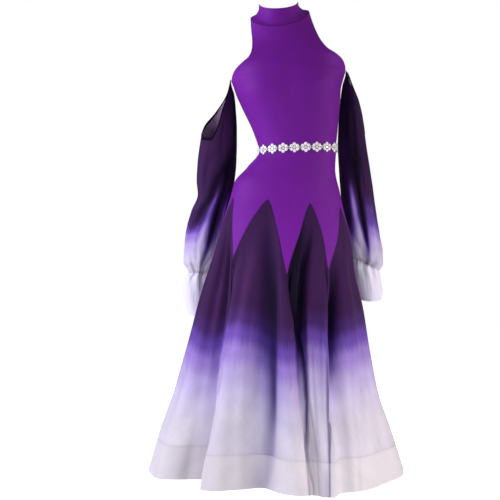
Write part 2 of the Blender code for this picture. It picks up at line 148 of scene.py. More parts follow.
# large lamps have no angle; small ones throw a cone of this many degrees
LAMPS = {
    "left": Lamp((-2.9, -1.0, 0.20), SIDE_TARGET, 1.8, 96.0, (0.91, 0.885, 1.00), None),
    "right": Lamp((2.9, -1.0, 0.00), SIDE_TARGET, 1.6, 46.0, (1.00, 0.89, 0.82), None),
    "back": Lamp((0.2, 3.2, 0.40), SIDE_TARGET, 2.2, 40.0, (1.00, 1.00, 1.00), None),
    "low": Lamp((1.7, -3.1, -1.10), (0.17, 0.0, -1.34), 0.6, 375.0, (1.00, 0.97, 1.00), 24.5),
    "left cuff": Lamp((-0.5, -2.4, -0.65), (-0.25, 0.10, -0.77), 0.3, 105.0,
                      (0.93, 0.92, 1.00), 12.0),
    "right cuff": Lamp((0.20, -2.4, -0.60), (0.27, 0.08, -0.79), 0.3, 120.0,
                       (1.00, 0.98, 1.00), 11.0),
}

for name, lamp in LAMPS.items():
    light = bpy.data.lights.new(f"{name} lamp", "SPOT" if lamp.angle else "AREA")
    light.energy = lamp.watts
    light.color = lamp.colour
    if lamp.angle:
        light.shadow_soft_size = lamp.size
        light.spot_size = math.radians(lamp.angle)
        light.spot_blend = 1.0
    else:
        light.shape = "DISK"
        light.size = lamp.size
    holder = add_object(light.name, light)
    holder.location = lamp.place
    towards = Vector(lamp.target) - Vector(lamp.place)
    holder.rotation_euler = towards.to_track_quat("-Z", "Y").to_euler()
print("lamps:", list(LAMPS))

# %% Background
AMBIENT = 0.155
AMBIENT_COLOUR = (0.96, 0.97, 1.0, 1.0)

world = bpy.data.worlds.new("studio")
bpy.context.scene.world = world
world.use_nodes = True
tree = world.node_tree
tree.nodes.clear()
seen = add_node(tree, "Background", {"Color": WHITE, "Strength": 1.0})
lit = add_node(tree, "Background", {"Color": AMBIENT_COLOUR, "Strength": AMBIENT})
by_camera = add_node(tree, "LightPath", {}, "Is Camera Ray")
either = add_node(tree, "MixShader", {0: by_camera, 1: lit, 2: seen})
set_inputs(tree, tree.nodes.new("ShaderNodeOutputWorld"), {"Surface": either})
bpy.context.scene.view_settings.view_transform = "Standard"
print("background light on the dress:", AMBIENT)

# %% [markdown]
# ## Smooth tables
# A pattern cutter works from a few measurements and joins them with smooth curves. We do the same:
# each shape of the dress is a short table, and `smooth_curve` joins its rows without overshooting.
# It takes a whole array of places at once, which is why thousands of points cost almost no time.

# %% Tables and smooth curves
def rows(kind, *values):
    """A table of rows whose values have names."""
    return [kind(*row) for row in values]


def smooth_curve(knots, values, period=0.0):
    """A curve through the knots that never swings past its neighbours. It repeats with a period."""
    pairs = sorted(zip(knots, values))
    if period:
        pairs = ([(x - period, y) for x, y in pairs[-3:]] + pairs
                 + [(x + period, y) for x, y in pairs[:3]])
    xs, ys = np.array(pairs, float).T
    rises = np.diff(ys) / np.diff(xs)
    both = rises[:-1] * rises[1:]
    total = np.where(both > 0, rises[:-1] + rises[1:], 1.0)
    slopes = np.concatenate([rises[:1], np.where(both > 0, 2 * both / total, 0.0), rises[-1:]])

    def value(x):
        x = np.asarray(x, float)
        if period:
            x = (x - xs[3]) % period + xs[3]
        x = np.clip(x, xs[0], xs[-1])
        i = np.clip(np.searchsorted(xs, x) - 1, 0, len(xs) - 2)
        step = xs[i + 1] - xs[i]
        u = (x - xs[i]) / step
        return (ys[i] * (1 + 2 * u) * (1 - u) ** 2 + ys[i + 1] * u * u * (3 - 2 * u)
                + step * (slopes[i] * u * (1 - u) ** 2 - slopes[i + 1] * u * u * (1 - u)))
    return value


def ease(u):
    """0 to 1 with soft ends."""
    u = np.clip(u, 0.0, 1.0)
    return u * u * (3 - 2 * u)


def bump(distance, width):
    """1 on the line and 0 far from it, with soft sides."""
    return np.exp(-(np.asarray(distance) / width) ** 2)


print("half way between 0 and 10:", float(smooth_curve((0, 1), (0, 10))(0.5)))

# %% [markdown]
# ## Sizes of the dress
# These are the pattern's own sizes, the same that the plain model was cut to. Heights are measured
# down from the neck seam, so they are negative. Angles run round the body: 0 is the centre front
# and 90 the side at +X. Repeating them here lets us work out the same surface much more finely.

# %% Sizes
UNDERARM = -0.183          # height where front and back meet below the arm
WAIST = -0.400             # height of the belt line
POINT_START = -0.445       # rows of the bodice start to follow its pointed edge here
PEAK = -0.5576             # height of the godet peaks
POINT_POWER = 1.45         # curve of the arches between the points
HEM = -1.345               # height of the skirt hem
HEM_BAND = 0.089           # width of the hem band
RELIEF_HEIGHT = 0.35       # share of the skirt's length over which the folds open
FOOT_START = 0.3           # share of its length where the folds start to take their hem form
COLLAR_TOP = 0.034
PANELS = 8                 # godets, and as many down-points
PANEL_ANGLE = 360.0 / PANELS
SLEEVE_GATHERS = 8         # puckers round the elastic
GATHER_DEPTH = 0.0030
GATHER_REACH = 0.075       # how far the puckers run from the elastic
BINDING_WIDTH = 0.008
CUFF_HEM_SAG = 0.010       # how much lower the cuff hangs at front and back than at its sides
FLOWERS = 19               # flowers round the belt
FLOWER_PHASE = -0.012      # arc from the centre front to the nearest flower
JERSEY_WALL = 0.0012
CHIFFON_WALL = 0.0010
BAND_WALL = 0.0016
print("from the neck seam to the hem:", round(-HEM / MM), "mm")

# %% Sections of the body, from the collar down
# height, centre: millimetres; roll: degrees the ring is tipped, + lifts the +X side;
# width: half width; front, back: half depths; dip: how much lower the front of the ring is;
# back_dip: the same behind; square: 2 is an ellipse, more is fuller at the corners
Section = namedtuple("Section", "name height centre roll width front back dip back_dip square")
SECTIONS = rows(
    Section,
    ("collar top", 34, -4, 3.4, 57, 58, 52, 29, 9, 2.0),
    ("collar middle", 21, -3, 4.4, 58.5, 59, 53, 34, 8, 2.0),
    ("collar root", 7, -1, 5.9, 68, 62, 56, 42, 6, 2.0),
    ("neck seam", 0, 0, 6.8, 86, 67, 60, 46, 5, 2.0),
    ("upper chest", -62, 14, 6.3, 123, 82, 76, 31, 2, 2.0),
    ("chest", -114, 22, 6.2, 200, 99, 90, 17, 0, 2.0),
    ("underarm", -183, 25.5, 5.0, 169, 115, 99, 0, 0, 2.0),
    ("bust", -222, 26, 4.5, 156, 117, 97, 0, 0, 2.15),
    ("ribs", -268, 33, 3.5, 144, 110, 89, 0, 0, 2.2),
    ("midriff", -347, 47, 2.4, 123, 90, 75, 0, 0, 2.2),
    ("waist", -400, 52, 2.0, 113.5, 81, 71, 0, 0, 2.2),
    ("high hip", -457, 34, -2.6, 129, 89, 88, 0, 0, 2.2),
    ("hip", -505, 20.7, -3.8, 153.5, 98, 108, 0, 0, 2.2),
    ("godet peaks", -554, 20, -5.0, 165.5, 106, 121, 0, 0, 2.15),
    ("thigh", -637, 20, -7.0, 189, 130, 140, 0, 0, 2.1),
    ("points", -735, 14, -8.0, 209, 157, 162, 0, 0, 2.0),
    ("knee", -843, 8, -5.0, 237.5, 188, 190, 0, 0, 2.0),
    ("calf", -973, 0, -3.0, 265.5, 222, 222, 0, 0, 2.0),
    ("low calf", -1114, -8, -1.5, 300.5, 262, 262, 0, 0, 2.0),
    ("above band", -1223, -11, -0.5, 339.5, 300, 300, 0, 0, 2.0),
    ("hem", -1345, -12, 0.7, 377, 335, 335, 0, 0, 2.0),
)
print("sections:", len(SECTIONS))

# %% Armholes, bust and points
# the cut-in armholes: where the edge of the front and of the back lies (millimetres)
# edge: distance of the edge from the middle; front, back: its depth from the side seam's plane
Armhole = namedtuple("Armhole", "height edge front back")
ARMHOLES = rows(
    Armhole,
    (0, 86, 0, 0),
    (-29, 90.5, 30, 27),
    (-62, 95.5, 55, 49),
    (-94, 104.5, 75, 67),
    (-114, 115, 84, 75),
    (-128, 129, 82, 74),
    (-153, 153, 60, 54),
    (-170, 164, 32, 29),
    (-183, 169, 0, 0),
)

# the bust darts make a soft fullness of the front
BUST_HEIGHT = -0.222
BUST_ANGLE = 33.0
BUST_SPREAD = 0.050
BUST_RISE = 0.011

# lower ends of the eight down-points, from the front seam round
POINT_HEIGHTS = np.array([-0.766, -0.738, -0.715, -0.738] * 2)
print("down-points:", len(POINT_HEIGHTS))

# %% Folds of the skirt: a row for each crest and each valley
# top: its angle on the pattern (0 front, 90 the +X side); hip, hem: its angle at the godet peaks
# and at the hem; middle, foot: its distance from the axis as a share of the plain cone's, at mid
# height and at the hem; hang: how much lower than the plain hem it hangs (millimetres)
Fold = namedtuple("Fold", "name top hip hem middle foot hang")
FOLDS = rows(
    Fold,
    ("left side crest", -90, -90, -92, 1.00, 0.99, -8),
    ("left side shoulder", -75, -76, -72, 0.98, 0.97, -2),
    ("left deep valley", -60, -63, -53, 0.80, 0.62, 0),
    ("left front crest", -45, -49.5, -35.5, 1.02, 0.93, 2),
    ("broad front valley", -22.5, -18.5, -11, 0.84, 0.745, 0),
    ("centre crest", 0, -1.8, 8, 1.02, 1.00, 2),
    ("deep front valley", 17, 16, 15, 0.62, 0.92, 9),
    ("inner crest", 45, 39.5, 22.5, 0.97, 1.05, 9),
    ("dark valley", 53, 50, 27.5, 0.80, 0.97, 6),
    ("right front crest", 63, 62.5, 37, 1.01, 1.01, 4),
    ("right shallow valley", 73, 73, 56, 0.96, 0.965, 4),
    ("right shoulder", 82, 82, 75, 1.00, 0.99, 3),
    ("right side crest", 90, 90, 92, 1.00, 1.00, 0),
    ("back right valley", 112, 112, 107, 0.84, 0.80, 0),
    ("back right crest", 135, 135, 122, 1.01, 1.00, 1),
    ("back second valley", 146, 146, 136, 0.80, 0.74, 3),
    ("back second crest", 157, 157, 149, 1.00, 1.02, 2),
    ("back third valley", 168, 168, 163, 0.86, 0.80, 0),
    ("centre back crest", 180, 180, 177, 1.01, 1.00, 0),
    ("back fourth valley", 203, 203, 193, 0.78, 0.74, 3),
    ("back left crest", 225, 225, 208, 1.01, 0.98, 0),
    ("back fifth valley", 236, 236, 221, 0.86, 0.84, 0),
    ("back fifth crest", 247, 247, 234, 1.00, 1.01, 2),
    ("back left valley", 258, 258, 251, 0.90, 0.82, 0),
)
print("folds:", len(FOLDS))

# %% Rings of the sleeves and cuffs, from the top down
# all in millimetres
# inner: x of the side next to the body; outer: x of the side away from it; back: how far behind the
# side seam the ring's centre lies; depth: half depth of the ring; slant: how much lower the outer
# side of the ring is than the inner side
Ring = namedtuple("Ring", "height inner outer back depth slant")
LEFT_SLEEVE = rows(
    Ring,
    (-194, -146.4, -181, 0, 26, 0),
    (-215, -141.5, -192, 2, 31, 0),
    (-238, -134.5, -203, 5, 36, 0),
    (-281, -130, -219, 12, 42, 0),
    (-339, -127, -228.5, 20, 46, 0),
    (-371, -127, -235, 28, 48, 0),
    (-433, -128.5, -244, 40, 50, 0),
    (-489, -134.5, -248, 52, 50, 0),
    (-530, -140, -244, 60, 50, 0),
    (-581, -151.2, -263.7, 74, 53, 0),
    (-638, -160.5, -281.5, 92, 56, 0),
    (-680, -170, -287, 106, 56, 0),
    (-732, -187, -289.5, 122, 50, 0),
    (-753, -203, -278, 127, 38, 0),
    (-766, -212, -272, 129, 27, 0),
)
LEFT_CUFF = rows(
    Ring,
    (-778, -212, -283, 131, 32, 0),
    (-802, -212, -290, 136, 35, 0),
    (-833, -213, -291, 142, 36, 0),
    (-862, -216, -285, 147, 35, 0),
    (-888, -220, -277, 151, 32, 0),
)
RIGHT_SLEEVE = rows(
    Ring,
    (-168, 196.7, 226, 0, 22, 0),
    (-185, 192.8, 231, 0, 26, 0),
    (-210, 185.5, 231, 4, 31, 0),
    (-257, 179.5, 240, 12, 37, 0),
    (-322, 174.8, 249, 20, 41, 0),
    (-377, 173.5, 256.9, 30, 44, 0),
    (-472, 180, 274, 50, 47, 0),
    (-548, 187.5, 288.1, 65, 50, 0),
    (-650, 203, 305.8, 90, 53, 6),
    (-690, 213, 314, 99, 51, 16),
    (-708, 222, 314, 102, 42, 30),
    (-722, 231, 303, 103, 28, 36),
)
RIGHT_CUFF = rows(
    Ring,
    (-744, 229, 305, 105, 33, 26),
    (-781, 234, 311.1, 110, 37, 12),
    (-821, 241, 316.5, 115, 39, 4),
    (-842, 247, 312, 118, 37, 0),
)

print("rings of the left sleeve:", len(LEFT_SLEEVE), "of the right:", len(RIGHT_SLEEVE))

# %% Slanted tops of the sleeves
# height of the cut edge (millimetres) by the angle round the sleeve. 0 is next
# to the body, 90 the front, 180 the outer side, 270 the back.
LEFT_CUT = smooth_curve((0, 35, 65, 82, 98, 112, 150, 180, 205, 242, 270, 295, 325),
                        (-194, -207, -241, -283, -340, -366, -362, -346, -323, -291, -256, -225,
                         -203), 360.0)
RIGHT_CUT = smooth_curve((0, 40, 90, 120, 150, 180, 210, 240, 270, 320),
                         (-168, -175, -204, -235, -284, -346, -292, -240, -206, -175), 360.0)
print("cut edge of the left sleeve, front:", round(float(LEFT_CUT(90))), "mm")

# %% [markdown]
# ## The surface of the dress
# `dress_point` gives the middle of the cloth for any angle and height. The ring at that height is
# a soft oval. Below the pointed edge of the bodice, the table of folds pushes the skirt in and out,
# so the same function serves the bodice, the godets and the hem band, and their seams always meet.

# %% Tables as curves
def column(table, name, unit=MM):
    """One column of a table as a curve over the table's heights."""
    return smooth_curve([row.height * MM for row in table],
                        [getattr(row, name) * unit for row in table])


def fold_column(name, unit=1.0, offset=0.0):
    """One column of the folds as a curve over the full turn, less the angle times an offset."""
    return smooth_curve([row.top for row in FOLDS],
                        [getattr(row, name) * unit - offset * row.top for row in FOLDS], 360.0)


BODY = {name: column(SECTIONS, name) for name in
        ("centre", "width", "front", "back", "dip", "back_dip")}
BODY["roll"] = column(SECTIONS, "roll", math.radians(1.0))
BODY["square"] = column(SECTIONS, "square", 1.0)
ARM = {name: column(ARMHOLES, name) for name in ("edge", "front", "back")}
HIP_SHIFT = fold_column("hip", offset=1.0)
HEM_SHIFT = fold_column("hem", offset=1.0)
FOLD_MIDDLE = fold_column("middle")
FOLD_FOOT = fold_column("foot")
FOLD_HANG = fold_column("hang", MM)
print("half width at the waist:", round(float(BODY["width"](WAIST)), 4))

# %% Edges and folds
def point_edge(angle):
    """Height of the pointed edge of the bodice at an angle."""
    place = (np.asarray(angle, float) % 360.0) / PANEL_ANGLE
    panel = np.floor(place).astype(int)
    across = place - panel
    nearest = POINT_HEIGHTS[(panel + (across > 0.5)) % PANELS]
    return PEAK - (PEAK - nearest) * np.abs(2 * across - 1) ** POINT_POWER


def hem_height(angle):
    return HEM - FOLD_HANG(angle)


def fold(angle, height):
    """Where the cloth cut at this angle hangs at this height: its angle and its share of radius."""
    share = np.clip((PEAK - height) / (PEAK - HEM), 0.0, 1.1)
    at_hip = HIP_SHIFT(angle) * ease((WAIST - height) / (WAIST - PEAK))
    turned = angle + at_hip * (1 - share) + HEM_SHIFT(angle) * share
    below = (point_edge(angle) - height) / (point_edge(angle) - HEM)
    middle = FOLD_MIDDLE(angle)
    target = middle + (FOLD_FOOT(angle) - middle) * ease((below - FOOT_START) / (1 - FOOT_START))
    return turned, 1.0 + (target - 1.0) * ease(below / RELIEF_HEIGHT)


print("point and arch:", float(point_edge(0.0)), float(point_edge(PANEL_ANGLE / 2)))

# %% Surface of the dress
def bust(angle, height):
    """How far the bust fullness lifts the front."""
    turned = (angle + 180.0) % 360.0 - 180.0
    across = (np.abs(turned) - BUST_ANGLE) * math.radians(1.0) * BODY["front"](height)
    return BUST_RISE * bump(np.hypot(across, height - BUST_HEIGHT), BUST_SPREAD)


def armhole_angle(height, side):
    """Angle of the armhole edge on the front or back half, 90 below the underarm."""
    share = np.clip(ARM[side](height) / BODY[side](height), 0.0, 1.0)
    return np.where(np.asarray(height) <= UNDERARM, 90.0, np.degrees(np.arccos(share)))


def ring_width(height, side):
    """Half width of the ring. Above the underarm the ring runs through the armhole edge."""
    through_edge = ARM["edge"](height) / np.sin(np.radians(armhole_angle(height, side)))
    plain = (height <= UNDERARM) | (height >= 0)
    return np.where(plain, BODY["width"](height), through_edge)


def dress_point(angle, height):
    """The middle of the cloth at angles of the pattern and heights, as an array of points."""
    angle, height = np.broadcast_arrays(np.asarray(angle, float), np.asarray(height, float))
    turned, share = fold(angle, height)
    sine, cosine = np.sin(np.radians(turned)), np.cos(np.radians(turned))
    front = cosine > 0
    width = np.where(front, ring_width(height, "front"), ring_width(height, "back"))
    depth = np.where(front, BODY["front"](height), BODY["back"](height))
    power = 2.0 / BODY["square"](height)
    lift = np.where(front, bust(angle, height), 0.0)
    x = (width * share + lift) * np.sign(sine) * np.abs(sine) ** power
    y = -(depth * share + lift) * np.sign(cosine) * np.abs(cosine) ** power
    dip = np.where(front, BODY["dip"](height), BODY["back_dip"](height)) * np.abs(cosine)
    roll = BODY["roll"](height)
    return np.stack([BODY["centre"](height) + x * np.cos(roll), y,
                     height - dip + x * np.sin(roll)], axis=-1)


print("centre front of the waist:", dress_point(0.0, WAIST).round(4))

# %% Which way the cloth faces
def unit(vectors):
    """The vectors at length 1."""
    return vectors / np.maximum(np.linalg.norm(vectors, axis=-1, keepdims=True), 1e-12)


ANGLE_STEP = 0.4           # steps taken each way to find which way a surface faces
HEIGHT_STEP = 0.002


def facing(surface, angle, height, outside):
    """The unit normals of a surface, on the side that the vectors `outside` point to."""
    along = surface(angle + ANGLE_STEP, height) - surface(angle - ANGLE_STEP, height)
    down = surface(angle, height - HEIGHT_STEP) - surface(angle, height + HEIGHT_STEP)
    normal = unit(np.cross(along, down))
    turn = np.sign(np.sum(normal * outside, axis=-1, keepdims=True))
    return normal * np.where(turn == 0, 1.0, turn)


def dress_normal(angle, height):
    """The unit normals of the dress. They face the way that their own angle points."""
    angle, height = np.broadcast_arrays(np.asarray(angle, float), np.asarray(height, float))
    turned = np.radians(fold(angle, height)[0])
    outside = np.stack([np.sin(turned), -np.cos(turned), np.zeros_like(turned)], axis=-1)
    return facing(dress_point, angle, height, outside)


waist_ring = dress_point(np.arange(0.0, 360.0, 1.0), WAIST)
waist_steps = np.linalg.norm(waist_ring - np.roll(waist_ring, 1, axis=0), axis=-1)
print("waist measures", round(float(waist_steps.sum()) * 1000), "mm")

# %% [markdown]
# ## The surface of a sleeve
# A bishop sleeve is a wide tube, gathered into elastic at the wrist, and its cuff is the ruffle
# below the elastic. One `Tube` holds both, so they share their edge. Angle 0 is the side next to
# the body, 90 the front and 180 the outer side.

# %% Surface of a sleeve
class Tube:
    """A sleeve with its cuff: rings from a table, and puckers next to the elastic."""

    def __init__(self, rings, gathered_at):
        self.rings = {name: column(rings, name)
                      for name in ("inner", "outer", "back", "depth", "slant")}
        self.gathered_at = gathered_at

    def point(self, angle, height):
        angle, height = np.broadcast_arrays(np.asarray(angle, float), np.asarray(height, float))
        ring = {name: curve(height) for name, curve in self.rings.items()}
        turn = np.radians(angle)
        near = ease(1.0 - np.abs(height - self.gathered_at) / GATHER_REACH)
        pucker = GATHER_DEPTH * near * np.cos(SLEEVE_GATHERS * turn)
        middle = (ring["inner"] + ring["outer"]) / 2
        reach = (ring["inner"] - ring["outer"]) / 2
        scale = 1.0 + pucker / np.abs(reach)
        outer_share = (1.0 - np.cos(turn)) / 2
        return np.stack([middle + reach * scale * np.cos(turn),
                         ring["back"] - (ring["depth"] + pucker) * np.sin(turn),
                         height - ring["slant"] * outer_share], axis=-1)

    def normal(self, angle, height):
        opposite = self.point(np.asarray(angle) + 180.0, height)
        return facing(self.point, angle, height, self.point(angle, height) - opposite)


Sleeve = namedtuple("Sleeve", "tube wrist foot cut")
SLEEVES = {}
for side, rings, cuff_rings, cut in (("left", LEFT_SLEEVE, LEFT_CUFF, LEFT_CUT),
                                     ("right", RIGHT_SLEEVE, RIGHT_CUFF, RIGHT_CUT)):
    wrist = rings[-1].height * MM
    foot = cuff_rings[-1].height * MM
    SLEEVES[side] = Sleeve(Tube(rings + cuff_rings, wrist), wrist, foot, cut)
    print(side, "sleeve: wrist at", wrist, "cuff ends at", foot)

# %% [markdown]
# ## Making cloth
# Every piece of cloth is a grid of points on its surface, joined by four-sided faces. The UV map
# named `cut` holds real distances along the cloth in metres, so a weave keeps its thread size
# wherever the cloth goes. Marks on the points say where the cloth is stitched, how much shade is
# painted into its folds and into the gathers at the elastic, and how far its dye has crept, which
# also paints lit and shaded streaks; the finishes use them. A Solidify modifier then gives the
# sheet its thickness, equally to both sides. We keep a hair's gap at the seams, because real
# pieces are sewn and not one skin.

# %% Grids
SEAM_GAP = 0.00003
RIM_ANGLE = math.radians(60.0)


def full_turn(count):
    """Angles at even steps all round, one for each column of a closed grid."""
    return np.linspace(0.0, 360.0, count, endpoint=False)


def downward(count):
    """Shares from 0 at the top of a grid to 1 at its foot."""
    return np.linspace(0.0, 1.0, count + 1)[:, None]


def arc_lengths(points, closed=False):
    """Distance along each row of a grid, 0 in its middle, with one more column on a closed one."""
    if closed:
        points = np.concatenate([points, points[:, :1]], axis=1)
    steps = np.linalg.norm(np.diff(points, axis=1), axis=-1)
    lengths = np.concatenate([np.zeros((len(points), 1)), np.cumsum(steps, axis=1)], axis=1)
    return lengths - lengths[:, -1:] / 2


def draw_in(points, closed):
    """Moves the border of a grid in by half a seam gap."""
    moved = points.copy()
    for edge, inner in ((0, 1), (-1, -2)):
        moved[edge] += unit(points[inner] - points[edge]) * SEAM_GAP / 2
        if not closed:
            moved[:, edge] += unit(points[:, inner] - points[:, edge]) * SEAM_GAP / 2
    return moved


print("seam gap:", SEAM_GAP)

# %% Mesh of a grid
def grid_mesh(name, points, outward, closed, marks):
    """A mesh of four-sided faces over a grid, facing outward, with its `cut` map and its marks."""
    rows, columns = points.shape[:2]
    r, c = np.meshgrid(np.arange(rows - 1), np.arange(columns if closed else columns - 1),
                       indexing="ij")
    corner_rows = np.stack([r, r + 1, r + 1, r], axis=-1).reshape(-1, 4)
    corner_columns = np.stack([c, c, c + 1, c + 1], axis=-1).reshape(-1, 4)
    corners = corner_rows * columns + corner_columns % columns
    flat = points.reshape(-1, 3)
    across = np.cross(flat[corners[:, 2]] - flat[corners[:, 0]],
                      flat[corners[:, 3]] - flat[corners[:, 1]])
    if np.sum(across * outward.reshape(-1, 3)[corners[:, 0]]) < 0:
        corners, corner_rows, corner_columns = (part[:, ::-1] for part in
                                                (corners, corner_rows, corner_columns))
    mesh = bpy.data.meshes.new(name)
    mesh.from_pydata(flat.tolist(), [], corners.tolist())
    cut = np.stack([arc_lengths(points, closed)[corner_rows, corner_columns],
                    points[corner_rows, corner_columns % columns, 2]], axis=-1)
    mesh.uv_layers.new(name="cut").data.foreach_set("uv", cut.ravel())
    for mark, share in marks.items():
        values = mesh.attributes.new(mark, "FLOAT", "POINT")
        values.data.foreach_set("value", np.broadcast_to(share, (rows, columns)).ravel())
    return mesh


print("grids can become meshes")

# %% Sheet of cloth
def cloth(name, points, normals, relief, wall, finishes, closed=False, seam=0.0, hollow=0.0,
          dip=0.0):
    """A sheet of cloth over a grid of points, pushed out along its normals by its relief.

    A second finish goes on its inner side. seam marks the stitched lines, and on sleeves and
    cuffs it also paints shade into the gathers at the elastic. The fold mark is painted shade in
    the folds: 0 leaves the colour as it is, 1 is darkest, and below 0 it is a painted highlight.
    dip is how much higher than elsewhere the dye turns pale here, in metres; the streaks use it to
    paint lit and shaded folds as well as uneven dyeing.
    """
    points = draw_in(points + normals * relief[..., None], closed)
    mesh = grid_mesh(name, points, normals, closed, {"seam": seam, "hollow": hollow, "dip": dip})
    for finish in finishes:
        mesh.materials.append(finish)
    piece = add_object(name, mesh)
    bpy.ops.object.select_all(action="DESELECT")
    piece.select_set(True)
    bpy.context.view_layer.objects.active = piece
    thicken = piece.modifiers.new("thicken", "SOLIDIFY")
    thicken.thickness = wall
    thicken.offset = 0.0
    thicken.material_offset = len(finishes) - 1
    bpy.ops.object.modifier_apply(modifier=thicken.name)
    bpy.ops.object.shade_smooth_by_angle(angle=RIM_ANGLE)
    print(name, "has", len(piece.data.polygons), "faces")
    return piece


def hand_over(piece, node):
    """The piece stands for a plain one, which is hidden, and rides on the body."""
    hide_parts(node)
    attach(piece, "root")


print("edges sharper than", round(math.degrees(RIM_ANGLE)), "degrees stay crisp")

# %% [markdown]
# ## Creases
# Cloth creases softly: a trough with rounded sides that fades out at both ends. Each row of a
# crease table is a width, a depth and a path of places on the cloth. A negative depth is a ridge.
# `along_paths` measures how far each point lies from each path, and `along_creases` uses it to push
# the cloth in or out.

# %% Creases
Crease = namedtuple("Crease", "width depth path")
FADE = 0.3                 # share of a crease over which each end fades out
EDGE_RISE = 0.0004         # how far a folded edge stands out
EDGE_STEP = 0.0016         # distance over which the fold ends
EDGE_GROOVE = 0.0009       # half width of the groove along its stitches
SEAM_DEPTH = 0.0005
STITCH_LINE = 0.0012       # half width of the line that stitches draw in the cloth


def path_rows(kind, *rows):
    """A table of named rows. The places at the end of each row are its path."""
    count = len(kind._fields) - 1
    return [kind(*row[:count], row[count:]) for row in rows]


def wrapped(angle):
    """The angle between -180 and 180."""
    return (np.asarray(angle) + 180.0) % 360.0 - 180.0


def even_girth(length):
    """A girth that is the same at every height, which is near enough for creases."""
    return lambda height: np.full(np.shape(height), length)


def dress_girth(height):
    """Distance round the dress at a height, near enough for creases."""
    return np.pi * (BODY["width"](height) + (BODY["front"](height) + BODY["back"](height)) / 2)


def along_paths(rows, amounts, angle, height, girth):
    """The sum of soft lines along the rows' paths, each times its amount.

    girth is the distance all round at each height, which turns degrees into metres.
    """
    degree = girth(height) / 360.0
    total = np.zeros(np.broadcast(angle, height).shape)
    for row, amount in zip(rows, amounts):
        nearest = np.full(total.shape, 1e9)
        along = np.zeros(total.shape)
        travelled = 0.0
        for (a0, h0), (a1, h1) in zip(row.path, row.path[1:]):
            run = float(wrapped(a1 - a0)) * float(girth((h0 + h1) / 2 * MM)) / 360.0
            fall = (h1 - h0) * MM
            length = math.hypot(run, fall)
            x, y = wrapped(angle - a0) * degree, height - h0 * MM
            t = np.clip((x * run + y * fall) / length ** 2, 0.0, 1.0)
            distance = np.hypot(x - t * run, y - t * fall)
            along = np.where(distance < nearest, travelled + t * length, along)
            nearest = np.minimum(distance, nearest)
            travelled += length
        ends = ease(along / (FADE * travelled)) * ease((travelled - along) / (FADE * travelled))
        total += amount * bump(nearest, row.width * MM) * ends
    return total


def along_creases(table, angle, height, girth):
    """How far the creases push the cloth out."""
    return along_paths(table, [-crease.depth * MM for crease in table], angle, height, girth)


def turned_edge(distance, width):
    """A folded edge: raised cloth as far as its stitch line, and a groove along the stitches."""
    groove = bump(distance - width, EDGE_GROOVE)
    return EDGE_RISE * ease((width - distance) / EDGE_STEP + 0.5) - 0.7 * EDGE_RISE * groove


print("girth at the waist, roughly", round(float(dress_girth(WAIST)) * 1000), "mm")

# %% [markdown]
# ## Finishes: shared effects
# Three effects are used by several materials, so each is a node group. `woven threads` gives the
# height of crossing threads, `cloth mottle` a slightly uneven shade, and `dip dye` the colour of
# cloth that was dyed by dipping it: dark where it stayed longest and nearly white at the far end.
# The groups read the `cut` map, so threads run along the cloth, and the dye reads real height.

# %% Node group helpers
EFFECTS = {}


def effect_group(name, inputs, output, kind):
    """An empty node group with float inputs and one output, and those inputs and that output."""
    group = bpy.data.node_groups.new(name, "ShaderNodeTree")
    for socket in inputs:
        group.interface.new_socket(name=socket, in_out="INPUT", socket_type="NodeSocketFloat")
    group.interface.new_socket(name=output, in_out="OUTPUT", socket_type=kind)
    start = group.nodes.new("NodeGroupInput")
    end = group.nodes.new("NodeGroupOutput")
    return group, start.outputs, end.inputs[output]


def noise_node(tree, place, scale, detail=2.0, roughness=0.5):
    """A Noise texture at a place."""
    return add_node(tree, "TexNoise", {"Vector": place, "Scale": scale, "Detail": detail,
                                       "Roughness": roughness}, "Fac")


def cut_place(tree, x=1.0, y=1.0):
    """Places on the cloth from its own map, times x across the cloth and y down it."""
    place = add_node(tree, "UVMap", {}, "UV", uv_map="cut")
    return add_node(tree, "VectorMath", {0: place, 1: (x, y, 1.0)}, operation="MULTIPLY")


def mark_node(tree, mark):
    """The value of one of the cloth's marks."""
    return add_node(tree, "Attribute", {}, "Fac", attribute_name=mark)


print("node group helpers are ready")

# %% Woven threads
def make_threads():
    group, start, end = effect_group("woven threads", ("Across", "Down"), "Height",
                                     "NodeSocketFloat")
    split = group.nodes.new("ShaderNodeSeparateXYZ")
    group.links.new(cut_place(group), split.inputs[0])
    waves = []
    for axis, count in (("X", "Across"), ("Y", "Down")):
        turns = math_node(group, "MULTIPLY", split.outputs[axis], start[count])
        waves.append(math_node(group, "SINE", math_node(group, "MULTIPLY", turns, math.tau)))
    crossing = math_node(group, "MULTIPLY", *waves)
    group.links.new(math_node(group, "MULTIPLY_ADD", crossing, 0.5, 0.5), end)
    return group


EFFECTS["threads"] = make_threads()
print(EFFECTS["threads"].name, "has", len(EFFECTS["threads"].nodes), "nodes")

# %% Cloth mottle
def make_mottle():
    group, start, end = effect_group("cloth mottle", ("Amount",), "Shade", "NodeSocketFloat")
    clouds = noise_node(group, cut_place(group, 1.0, 0.6), 22.0, 3.0)
    slubs = noise_node(group, cut_place(group, 9.0, 1.0), 60.0)
    both = math_node(group, "ADD", clouds, math_node(group, "MULTIPLY", slubs, 0.5))
    centred = math_node(group, "SUBTRACT", both, 0.75)
    change = math_node(group, "MULTIPLY", centred, start["Amount"])
    group.links.new(math_node(group, "ADD", change, 1.0), end)
    return group


EFFECTS["mottle"] = make_mottle()
print(EFFECTS["mottle"].name, "has", len(EFFECTS["mottle"].nodes), "nodes")

# %% Dip dye
# place along the dyed stretch, from 0 where it is darkest to 1 where it is nearly white, and colour
DYE = (
    (0.00, (0.041, 0.0115, 0.067)),
    (0.14, (0.057, 0.020, 0.130)),
    (0.28, (0.126, 0.062, 0.355)),
    (0.42, (0.288, 0.192, 0.548)),
    (0.62, (0.455, 0.385, 0.655)),
    (0.82, (0.565, 0.524, 0.690)),
    (1.00, (0.630, 0.598, 0.685)),
)
STREAK_REACH = 0.030       # how far streaks pull the dye up or down


